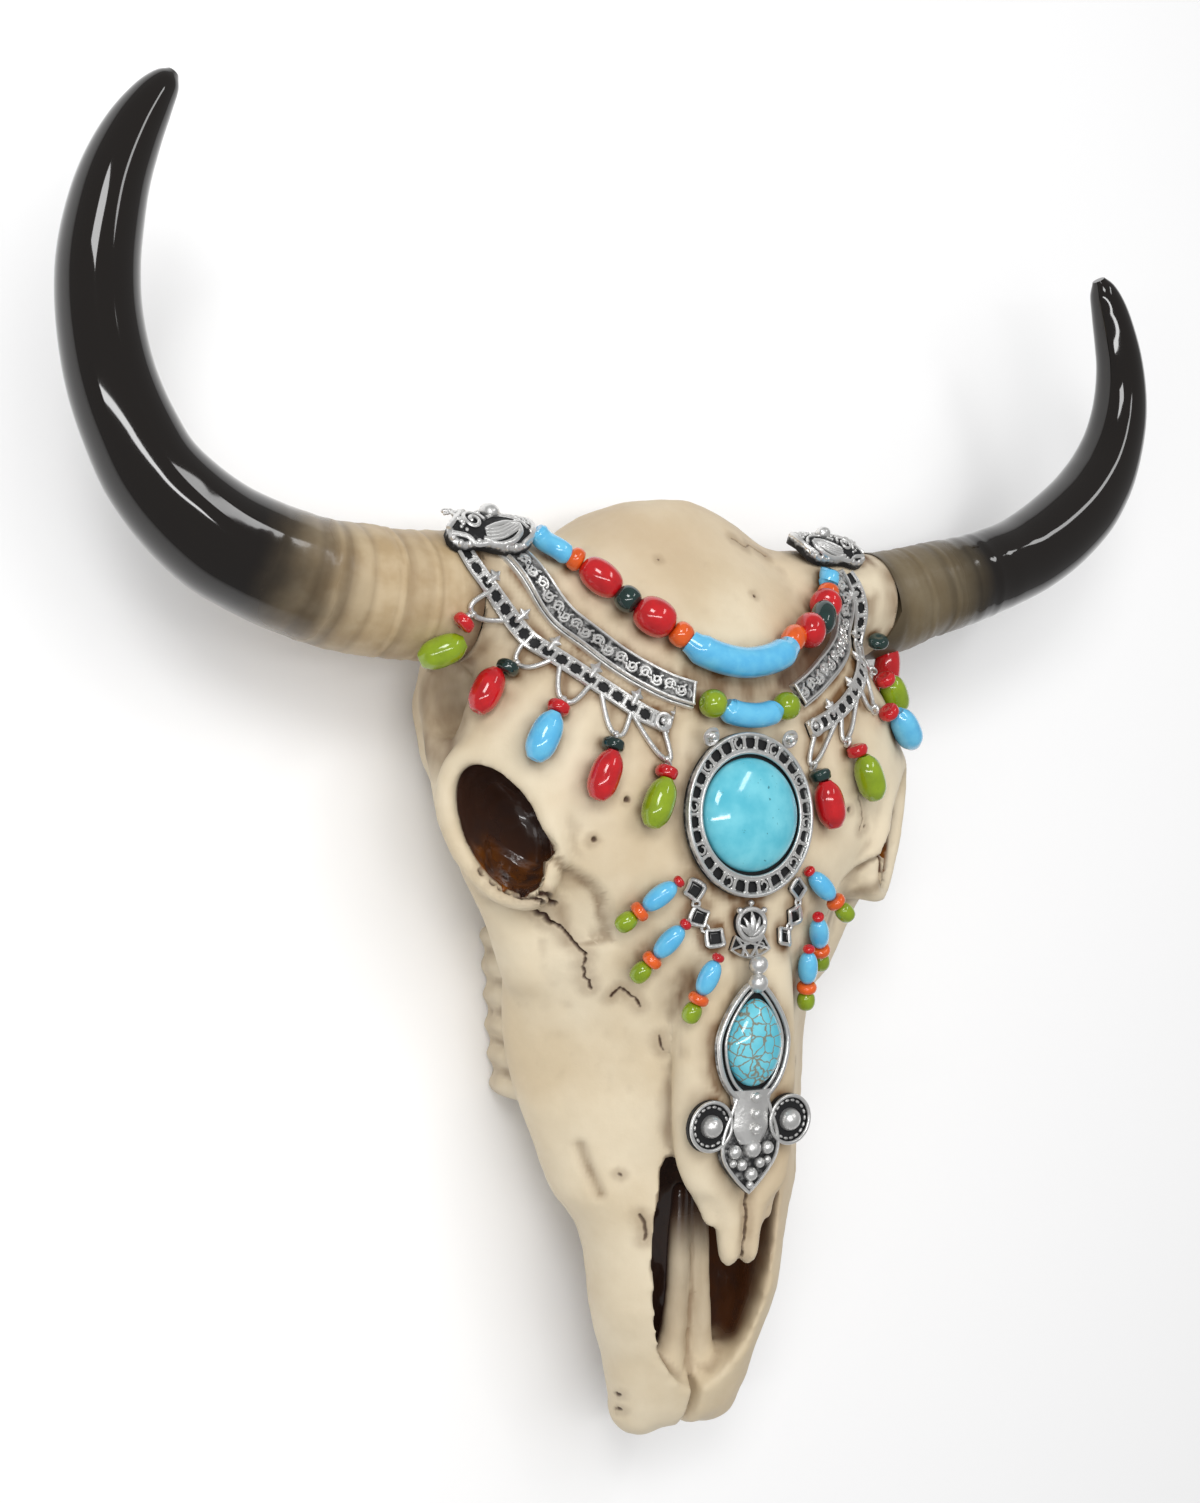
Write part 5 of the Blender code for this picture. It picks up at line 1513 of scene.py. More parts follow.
HORN_RUNS = {
    "left": (
        (-69.4, 59.0, 42.0, 17.7), (-71.0, 59.0, 42.0, 17.7), (-84.0, 58.6, 43.0, 17.2),
        (-97.0, 59.0, 43.8, 16.9), (-108.0, 60.0, 44.8, 16.4), (-118.0, 62.0, 45.8, 15.8),
        (-128.0, 65.0, 47.0, 15.2), (-137.5, 69.0, 48.0, 14.6), (-147.0, 75.5, 49.3, 13.5),
        (-154.7, 83.1, 50.5, 12.4), (-160.2, 92.0, 51.8, 11.6), (-164.4, 101.0, 53.0, 11.0),
        (-167.2, 110.0, 54.2, 10.5), (-169.0, 120.4, 55.2, 10.1), (-169.4, 131.0, 56.4, 9.8),
        (-168.2, 142.0, 57.6, 9.2), (-166.1, 151.8, 58.9, 8.3), (-162.6, 161.5, 60.0, 7.1),
        (-158.6, 169.6, 61.0, 5.5), (-155.2, 175.0, 61.6, 3.7), (-153.4, 177.6, 61.9, 1.6),
    ),
    "right": (
        (69.4, 65.6, 42.0, 16.4), (71.0, 65.6, 42.0, 16.4), (80.0, 68.0, 43.0, 15.6),
        (90.2, 71.3, 44.2, 14.8), (107.0, 76.0, 46.1, 13.8), (122.8, 82.0, 48.0, 13.2),
        (132.0, 86.8, 49.1, 13.2), (141.0, 93.0, 50.3, 13.1), (150.0, 101.0, 51.7, 12.6),
        (156.0, 108.4, 52.7, 11.8), (160.2, 115.5, 53.6, 10.9), (163.4, 124.0, 54.8, 9.8),
        (165.0, 132.5, 56.0, 9.0), (165.2, 141.0, 57.0, 8.2), (163.8, 149.5, 58.2, 7.4),
        (161.2, 157.5, 59.2, 6.7), (157.6, 165.5, 60.4, 5.7), (153.9, 171.5, 61.4, 4.2),
        (151.6, 174.8, 61.9, 2.0),
    ),
}


# A fade above 1 also darkens the horn's root with painted shade.
HORN_FADES = {"left": 1.0, "right": 1.35}


@dataclass
class Bars:
    """The two engraved bars: a channel with raised rims, filled with scrolls."""

    width: float = 7.0
    thickness: float = 2.2
    pitch: float = 3.7
    # How bright each point of the channel's section is worn
    worn: tuple = (0.7, 0.9, 1, 1, 0.0, 0.9, 1, 1, 0.4, 0.4, 1, 1, 1, 0.6)
    routes: tuple = (
        ("left", ((-61.0, 70.6), (-58.4, 67.4), (-55.2, 63), (-51.5, 57.6), (-46, 51.4), (-41, 46.1),
                  (-35.5, 41.2), (-29, 37.2), (-22.5, 34.2), (-16.6, 32.6), (-14.6, 32.2))),
        ("right", ((19.8, 33.2), (25, 36.4), (30.5, 40.6), (37, 45.4), (42.6, 50.4), (46, 55.8),
                   (47, 61.4), (46.2, 67.0), (44.6, 71.0))),
    )

    def channel(self, length: float) -> Shape:
        """The bar's section swept straight: floor, two rims and the lip below them."""
        half = self.width / 2
        floor, rim = self.thickness - 0.6, self.thickness
        section = np.array([
            (-half - 0.7, -0.6), (-half - 0.7, 0.9), (-half - 0.5, 1.2), (-half - 0.1, 1.2),
            (-half + 0.05, 0.8), (-half + 0.15, 1.5), (-half + 0.3, rim), (-half + 0.8, rim),
            (-half + 1.0, floor), (half - 0.9, floor), (half - 0.75, rim), (half - 0.2, rim),
            (half, rim - 0.3), (half, -0.6),
        ])
        steps = max(2, int(length / 0.8))
        rows = [np.column_stack([np.full(len(section), x), section])
                for x in np.linspace(0, length, steps)]
        return np.vstack(rows), grid_faces(steps, len(section), False, True)

    def build(self, ground: Ground, finish: bpy.types.Material) -> None:
        """Lay both bars on the bone."""
        for side, places in self.routes:
            route = Route(ground, places, self.width)
            batch = Batch()
            points, faces = self.channel(route.length)
            batch.add((points, faces), np.tile(self.worn, len(points) // len(self.worn)))
            scrolls, faces = grow(
                Pattern.SCROLLS, finish, pitch=self.pitch, radius=1.75, wire=0.36, sway=0.5,
                count=int((route.length - 1.6) / self.pitch),
            )
            scrolls[:, 2] += self.thickness - 0.6
            batch.add((scrolls, faces), 0.95)
            for end in (0.5, route.length - 0.5):
                stop = [(end, across, self.thickness - 0.3) for across in (-3.0, 3.0)]
                batch.add(tube(stop, 0.5), 0.9)
            bar = batch.bent(route.bend).make(f"{side}_scroll_bar", finish)
            settle(bar, "silver", f"bar_{side}")


@dataclass
class Bands:
    """The two openwork bands with spikes above and wire loops below."""

    width: float = 5.0
    thickness: float = 1.6
    pitch: float = 4.35
    wire: float = 0.72
    lift: float = 0.8
    routes: tuple = (
        ("left", ((-75, 69.4), (-74, 66.6), (-72, 63.4), (-69, 59.6), (-64.4, 54.8), (-58.4, 49.0),
                  (-52.3, 42.7), (-45.8, 37.1), (-38.1, 31.5), (-29.6, 26.3), (-22.6, 23.8))),
        ("right", ((22.6, 23.6), (31.6, 27.6), (39.2, 32.6), (46, 39.1), (50.8, 45.2), (53.8, 51.4),
                   (54.4, 57.6), (53.2, 63.6), (51.4, 68.4), (49.8, 71.4))),
    )
    loops: tuple = (
        ("left", ((0.17, 0.29, (-73.4, 52.6)), (0.40, 0.52, (-59.3, 39.6)),
                  (0.56, 0.68, (-51.2, 29.8)), (0.73, 0.85, (-38.6, 21.0)),
                  (0.86, 0.985, (-24.2, 14.6)))),
        ("right", ((0.02, 0.15, (24.0, 14.4)), (0.19, 0.32, (37.0, 21.6)),
                   (0.38, 0.50, (50.0, 31.4)), (0.58, 0.70, (59.6, 44.0)))),
    )

    def strip(self, route: Route, finish: bpy.types.Material) -> Batch:
        """The flat strip: a dark back, the openwork, spikes and the end ring.

        Args:
            route: gives the strip's length.
            finish: the silver.

        Returns:
            The strip before it is laid on the bone.
        """
        batch = Batch()
        rungs = int(route.length / self.pitch) + 1
        steps = int(route.length)
        back = [np.array([(x, -1.9, -0.5), (x, -1.9, 0.7), (x, 1.9, 0.7), (x, 1.9, -0.5)])
                for x in np.linspace(0, route.length, steps)]
        batch.add((np.vstack(back), grid_faces(steps, 4, False, True)), 0.0)
        lattice = grow(
            Pattern.OPENWORK, finish, length=route.length, width=self.width, rail=1.15,
            height=self.thickness, pitch=self.pitch, crescent=0.1, segments=steps,
            rungs=rungs, crescents=1,
        )
        batch.add(lattice, 0.3 + 0.7 * smooth_step(lattice[0][:, 2], 0.6, 1.1))
        lobe = self.pitch * 0.21
        for i in range(rungs - 1):
            for near, far in ((0, 1), (1, 0)):
                for hand in (1, -1):
                    corner = (self.pitch * (i + near) + (far - near) * lobe, hand * 1.3, 0.9)
                    batch.add(ball(corner, 0.55, 8), 0.95)
        for i in range(0, rungs - 2, 3):
            x = self.pitch * (i + 2.5)
            heart = np.array((x, 3.1, 1.35))
            for lean, reach in ((-1.9, 0.3), (0.0, 2.3), (1.9, 0.3)):
                tip = heart + (lean, reach, 0.0)
                batch.add(tube([heart, (heart + tip) / 2, tip], (1.05, 0.75, 0.15), 8), 1.0)
            nib = [(x, y, 1.3) for y in (3.0, 1.6, 0.7, 0.0)]
            batch.add(tube(nib, (1.0, 0.95, 0.8, 0.25), 8), 1.0)
        middle = 2.4 if route.middle[0, 0] > 0 else route.length - 2.4
        batch.add(tube(level(oval(16, (2.1, 2.1), (middle, 0.0)), 1.6), 0.7, 7, True), 1.0)
        batch.add(ball((middle, 0.3, 1.5), 1.0, 10), 1.0)
        return batch

    def loop(self, route: Route, feet: tuple[float, float], low: Sequence[float], ground: Ground) -> Batch:
        """One wire loop under the band, with the small ring at its lowest point.

        Args:
            route: the band's path.
            feet: where the loop starts and ends, as shares of the path.
            low: its lowest point, seen from above.
            ground: what it lies on.

        Returns:
            The loop where it lies.
        """
        first, last = (route.bend(np.array([(share * route.length, -2.0, 0.9)]))[0] for share in feet)
        fall = np.array(low) - ((first + last) / 2)[:2]
        run = []
        for t in np.linspace(0, 1, 13):
            bow = 1 - abs(2 * t - 1) ** 2.9
            straight = first * (1 - t) + last * t
            spot = straight[:2] + fall * bow
            point = ground.hit(*spot)[0] + ground.even_normal(*spot) * self.lift
            blend = min(1.0, 6 * min(t, 1 - t))
            run.append(np.array([*spot, straight[2] * (1 - blend) + point[2] * blend]))
        batch = Batch()
        points, faces = tube(even_out(ride_over(np.array(run)), 1), self.wire, 9)
        batch.add((points, faces), 0.85)
        point, normal = ground.hit(*low)[0], ground.even_normal(*low)
        batch.add(ball(point + normal * 1.4, 1.0, 10), 0.9)
        away = unit(np.array([*fall, 0.0]))
        ring = [point + normal * rise + away * reach for reach, rise in oval(14, (1.2, 1.0), (1.0, 1.3))]
        batch.add(tube(ring, 0.45, 6, True), 0.85)
        return batch

    def build(self, ground: Ground, finish: bpy.types.Material) -> None:
        """Lay both bands on the bone."""
        loops = dict(self.loops)
        for side, places in self.routes:
            route = Route(ground, places, self.width)
            batch = self.strip(route, finish).bent(route.bend)
            for start, end, low in loops[side]:
                batch.take(self.loop(route, (start, end), low, ground))
            band = batch.make(f"{side}_openwork_band", finish)
            settle(band, "silver", f"band_{side}")


@dataclass
class Medallion:
    """The oval frame with its ring of openings, two loops and the stone."""

    half: tuple = (20.4, 22.2)
    opening: tuple = (16.2, 16.8)
    rim: float = 4.2
    height: float = 3.4
    loop_place: tuple = (12.8, 21.8)
    stone_half: tuple = (15.0, 15.4, 6.2)

    def onto_ring(self, points: np.ndarray) -> np.ndarray:
        """Move points from (along, across, up) onto the frame's ring."""
        middle = (np.array(self.half) + np.array(self.opening)) / 2
        angles = np.linspace(0, math.tau, 361)
        ring = np.stack([middle[0] * np.cos(angles), middle[1] * np.sin(angles)], axis=1)
        at = np.concatenate([[0], np.cumsum(np.linalg.norm(np.diff(ring, axis=0), axis=1))])
        angle = np.interp(points[:, 0], at, angles)
        x, y = middle[0] * np.cos(angle), middle[1] * np.sin(angle)
        out = unit(np.stack([np.cos(angle) / middle[0], np.sin(angle) / middle[1]], axis=1))
        wider = 1 + (self.half[1] - self.opening[1] - self.rim) / self.rim * np.sin(angle) ** 2
        reach = points[:, 1] * wider
        return np.stack([x + out[:, 0] * reach, y + out[:, 1] * reach, points[:, 2]], axis=1)

    def girth(self) -> float:
        """The ring's length along its middle."""
        a, b = ((out + into) / 2 for out, into in zip(self.half, self.opening))
        return math.pi * (3 * (a + b) - math.sqrt((3 * a + b) * (a + 3 * b)))

    def build(self, silver: bpy.types.Material, turquoise: bpy.types.Material) -> None:
        """Make the frame and the stone where their solids are."""
        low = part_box("medallion_frame")[0].z / MM
        girth = self.girth()
        rungs = 30
        pitch = girth / rungs
        sections = 96
        lattice = grow(
            Pattern.OPENWORK, silver, length=girth, width=self.rim, rail=0.85, height=2.0,
            pitch=pitch, crescent=1.0, segments=160, rungs=rungs, crescents=rungs // 3,
        )
        batch = Batch()
        for i in range(rungs):
            for across, along in ((1.15, 0.5), (1.15, -0.5), (-1.15, 0.5), (-1.15, -0.5)):
                points, faces = ball(((pitch * i + along) % girth, across, 2.6), 0.42, 8)
                batch.add((self.onto_ring(np.clip(points, (0, -9, -9), (girth, 9, 9))), faces), 0.9)
        lattice[0][:, 2] += 1.2
        batch.add((self.onto_ring(lattice[0]), lattice[1]), 0.3 + 0.7 * smooth_step(lattice[0][:, 2], 2.0, 2.6))
        batch.add(plate(oval(sections, np.array(self.half) - 0.9), 0.0, 1.9), 0.0)
        for size, radius, lift, worn in (((19.9, 21.7), 0.55, 2.85, None), (self.opening, 0.5, 2.9, None),
                                         ((19.7, 21.5), 0.72, 1.9, 0.5), ((19.7, 21.5), 0.72, 0.9, 0.35)):
            batch.add(tube(level(oval(sections, size), lift), radius, 8, True), worn)
        self.loops(batch)
        for points in batch.points:
            points[:, 2] += low
        settle(batch.make("oval_medallion", silver), "silver", "medallion_frame")
        self.stone(turquoise)

    def loops(self, batch: Batch) -> None:
        """The two knotted wire loops on the frame's shoulders."""
        for side in (1, -1):
            x, y = side * self.loop_place[0], self.loop_place[1] - 2.6
            for tilt, size in ((0.0, 1.9), (1.2, 1.6)):
                across, up = oval(16, (size, size)).T
                ring = np.stack([x + across, y + 1.4 + up * math.cos(tilt),
                                 3.2 + up * math.sin(tilt + 0.5)], axis=1)
                batch.add(tube(ring, 0.62, 7, True), 0.85)
            batch.add(ball((x, y + 1.4, 4.2), 1.1, 10), 1.0)

    def stone(self, turquoise: bpy.types.Material) -> None:
        """The domed stone."""
        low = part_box("cabochon")[0].z / MM
        *half, height = self.stone_half
        shape = dome(oval(72, half), (0, 0), low, height - 0.5, 25.4)
        settle(new_object("turquoise_oval", shape, turquoise), "turquoise", "cabochon")


@dataclass
class Pendant:
    """The teardrop rim and stone, the balls above and the fleur-de-lis below."""

    tear_y: float = -60.5
    tear_half: tuple = (11.8, 16.5)
    rim: float = 2.8
    stone_half: tuple = (8.4, 11.6, 4.6)
    thickness: float = 2.4
    slant: float = 0.03
    balls: tuple = ((0, -40.0, 2.6), (0, -44.8, 2.7))
    lobe: tuple = (12.6, -81.8, 6.9)
    grain_growth: float = 1.18
    fleur: tuple = ((4.5, -74), (6.5, -79), (9.2, -86), (8.6, -91.4), (4.2, -96.8), (0, -100.4))

    def outline(self, inset: float, count: int = 64) -> np.ndarray:
        """The teardrop drawn in by inset."""
        return self.tear(np.array(self.tear_half) - inset, 0.42, count) + (0, self.tear_y)

    @staticmethod
    def tear(half: Sequence[float], taper: float, count: int) -> np.ndarray:
        """A teardrop, point up, whose top is narrower by taper."""
        across, up = oval(count, (1, 1)).T
        narrow = 1 - taper * np.maximum(up, 0) ** 1.5
        return np.stack([half[0] * across * narrow, half[1] * up], axis=1)

    def lean(self, ground: Ground) -> Callable[[np.ndarray], np.ndarray]:
        """The function that leans flat points down the nose."""
        near, far = ground.hit(0, -44)[0][2], ground.hit(4, -96)[0][2]
        slope = (near - far) / 52
        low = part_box("pendant_frame")[0].z / MM
        flat_low = min(self.drop(-100.4, slope), self.drop(-40, slope))

        def move(points: np.ndarray) -> np.ndarray:
            """Lean and lift the points."""
            moved = points.copy()
            moved[:, 0] += self.slant * (points[:, 1] + 44)
            moved[:, 2] += self.drop(points[:, 1], slope) - flat_low + low
            return moved

        return move

    @staticmethod
    def drop(y: Any, slope: float) -> Any:
        """How far the pendant falls at a place along the nose."""
        return slope * (y + 44)

    def build(self, ground: Ground, silver: bpy.types.Material, veined: bpy.types.Material) -> None:
        """Make the frame and the stone where their solids are."""
        move = self.lean(ground)
        batch = Batch()
        batch.add(plate(self.outline(0.8), 0.0, 0.9), 0.0)
        for inset, radius, height, worn in ((0.72, 0.72, 1.65, None), (2.75, 0.5, 1.75, None),
                                            (1.75, 1.0, 0.45, 0.28), (0.8, 0.8, 0.7, 0.5)):
            batch.add(tube(level(self.outline(inset), height), radius, 8, True), worn)
        for x, y, radius in self.balls:
            batch.add(ball((x, y, radius * 0.9), radius, 20), None)
        self.petals(batch, silver)
        settle(batch.bent(move).make("fleur_pendant", silver), "silver", "pendant_frame")
        *half, rise = self.stone_half
        points, faces = dome(self.tear(half, 0.3, 56), (0, self.tear_y), 1.25, rise, 17.5)
        stone = new_object("turquoise_teardrop", (move(points), faces), veined)
        settle(stone, "turquoise", "teardrop_stone")

    def petals(self, batch: Batch, silver: bpy.types.Material) -> None:
        """The fleur-de-lis: side lobes, the middle petal, the arrow tip and its grains."""
        half = smooth_run(self.fleur, 24)
        tip = np.vstack([half, [(-x, y) for x, y in half[-2::-1]]])
        batch.add(plate(tip[::-1], 0.0, 1.5), 0.36)
        batch.add(tube(level(tip * (0.95, 1.0) + (0, 0.3), 1.75), 0.5, 7), None)
        x, y, radius = self.lobe
        for side in (1, -1):
            disc = oval(36, (radius, radius), (side * x, y))
            batch.add(plate(disc, 0.0, 1.2), 0.2)
            ring = level(disc * 0.92 + np.array((side * x, y)) * 0.08, 1.8)
            batch.add(tube(ring, 0.52, 8, True), None)
            batch.add(ball((side * x, y, 1.5), 3.1, 18), None)
            count = 18
            grains = grow(Pattern.GRAINS, silver, radius=0.42, pitch=1.0, count=count)
            turn = grains[0][:, 0] * math.tau / count
            reach = 5.1 + grains[0][:, 1]
            ring = np.stack([side * x + reach * np.cos(turn), y + reach * np.sin(turn),
                             grains[0][:, 2] + 1.2], axis=1)
            batch.add((ring, grains[1]), 0.55)
        self.middle_petal(batch)
        for px, py, size in ((0.2, -74.9, 1.2), (0.3, -79.2, 1.2), (0.4, -83.2, 1.35),
                             (0.2, -88.4, 2.25), (-5.2, -89.0, 1.6), (5.2, -88.6, 1.55),
                             (-2.8, -92.6, 1.35), (2.9, -92.4, 1.25), (0.2, -95.2, 1.6),
                             (-5.6, -92.0, 0.95), (5.4, -91.8, 0.9), (0.0, -98.0, 0.95)):
            height = 3.5 if py > -86 else 2.0
            batch.add(ball((px, py, height), size * self.grain_growth, 14), 0.7 + 0.3 * (size > 1.0))

    def middle_petal(self, batch: Batch) -> None:
        """The bright waisted petal between the lobes."""
        rows = []
        profile = ((-73.0, 7.0), (-74.6, 6.2), (-77.0, 5.6), (-80.0, 5.3), (-83.5, 5.4), (-87.2, 3.4))
        for y, half in smooth_run(profile, 16):
            across = np.linspace(-1, 1, 11)
            crown = 3.1 - 1.5 * across**2
            rows.append(np.stack([across * half, np.full(11, y), crown], axis=1))
        top = np.vstack(rows)
        under = top.copy()
        under[:, 2] = 0.4
        faces = []
        wide, count = 11, len(rows)
        for i in range(count - 1):
            for k in range(wide - 1):
                a = i * wide + k
                faces.append((a, a + wide, a + wide + 1, a + 1))
                faces.append(tuple(v + len(top) for v in (a, a + 1, a + wide + 1, a + wide)))
        border = list(range(wide))
        border += [i * wide + wide - 1 for i in range(1, count)]
        border += [(count - 1) * wide + k for k in range(wide - 2, -1, -1)]
        border += [i * wide for i in range(count - 2, 0, -1)]
        for a, b in zip(border, border[1:] + border[:1]):
            faces.append((a, b, b + len(top), a + len(top)))
        batch.add((np.vstack([top, under]), faces), 1.0)


@dataclass
class Links:
    """The diamond links, the lotus link and the net link under the medallion."""

    strips: tuple = (
        ("left", ((-17.4, -16.4), (-16.2, -19.0), (-15.6, -22.0), (-15.2, -25.6), (-13.4, -29.0),
                  (-10.8, -32.4), (-7.6, -35.0))),
        ("right", ((18.0, -16.4), (17.6, -19.0), (17.6, -22.0), (17.4, -25.6), (15.6, -29.0),
                   (13.0, -32.4), (9.6, -35.2))),
    )
    lotus: tuple = (0.4, -28.8, 4.8, 5.2, 2.0)
    net: tuple = ((-5.4, -34.2), (-2.6, -35.6), (0.2, -36.2), (3.0, -35.6), (5.8, -34.2))

    def diamonds(self, route: Route) -> Batch:
        """Three open diamonds joined by small rings."""
        batch = Batch()
        step = route.length / 3
        for i in range(3):
            x = step * (i + 0.5)
            corners = [(x - 3.1, 0), (x, 3.1), (x + 3.1, 0), (x, -3.1)]
            ring = []
            for (ax, ay), (bx, by) in zip(corners, corners[1:] + corners[:1]):
                ring.extend((ax + (bx - ax) * t, ay + (by - ay) * t, 1.1) for t in (0.06, 0.35, 0.65, 0.94))
            batch.add(tube(ring, 0.58, 7, True), None)
            batch.add(plate(np.array(corners[::-1], float), -0.4, 0.5), 0.0)
            inner = [(x + (cx - x) * 0.52, cy * 0.52, 1.0) for cx, cy in corners]
            batch.add(tube(inner, 0.3, 6, True), 0.45)
        for i in range(2):
            x = step * (i + 1)
            batch.add(tube(level(oval(12, (1, 1), (x, 0)), 1.0), 0.42, 6, True), 0.8)
        return batch

    def lotus_batch(self) -> Batch:
        """A domed flower with five petals in an open rim."""
        _, _, half_x, half_y, height = self.lotus
        batch = Batch()
        rim = oval(40, (half_x, half_y))
        rim[:, 1] *= np.where(rim[:, 1] < 0, 1.0, 0.78)
        batch.add(plate(rim, -0.4, 0.6), 0.0)
        batch.add(tube(level(rim * 0.9, 1.2), 0.72, 7, True), None)
        for side in (1, -1):
            batch.add(ball((side * half_x * 0.82, half_y * 0.62, 1.5), 0.95, 10), 0.9)
        for lean in (-50, -26, 0, 26, 50):
            across, along = math.sin(math.radians(lean)), math.cos(math.radians(lean))
            run = []
            for t in np.linspace(0.05, 1, 7):
                reach = half_y * (1.12 if lean else 1.3) * t
                rise = 0.9 + height * 0.5 * math.sin(t * 2.6)
                run.append((across * reach, along * reach - half_y * 0.75, rise))
            size = np.array([0.35, 0.6, 0.75, 0.75, 0.62, 0.42, 0.15]) * (1.0 if lean else 1.35)
            batch.add(tube(run, size, 7), None)
        batch.add(ball((0, half_y, 1.2), 0.9, 9), 0.9)
        return batch

    def build(self, ground: Ground, silver: bpy.types.Material) -> None:
        """Lay the links on the bone."""
        for side, places in self.strips:
            route = Route(ground, places, 4.0)
            links = self.diamonds(route).bent(route.bend).make(f"{side}_diamond_links", silver)
            settle(links, "silver", f"link_strip_{side}")
        place = np.array((*self.lotus[:2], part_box("lotus_link")[0].z / MM))
        lotus = self.lotus_batch().bent(lambda points: points + place)
        settle(lotus.make("lotus_flower", silver), "silver", "lotus_link")
        route = Route(ground, self.net, 2.6)
        batch = Batch()
        lattice = grow(
            Pattern.OPENWORK, silver, length=route.length, width=4.6, rail=0.7, height=1.5,
            pitch=route.length / 3, crescent=0.8, segments=12, rungs=4, crescents=1,
        )
        batch.add(lattice, np.where(lattice[0][:, 2] > 0.6, 1.0, 0.15))
        reach = route.length
        corners = np.array([(0, -2), (reach, -2), (reach, 2), (0, 2)], float)
        batch.add(plate(corners, -0.5, 0.7), 0.0)
        for x0 in (0.0, reach / 2):
            for low, high in ((-2.0, 2.0), (2.0, -2.0)):
                batch.add(tube([(x0, low, 1.2), (x0 + reach / 2, high, 1.2)], 0.42, 6), 0.85)
        settle(batch.bent(route.bend).make("net_link", silver), "silver", "v_link")


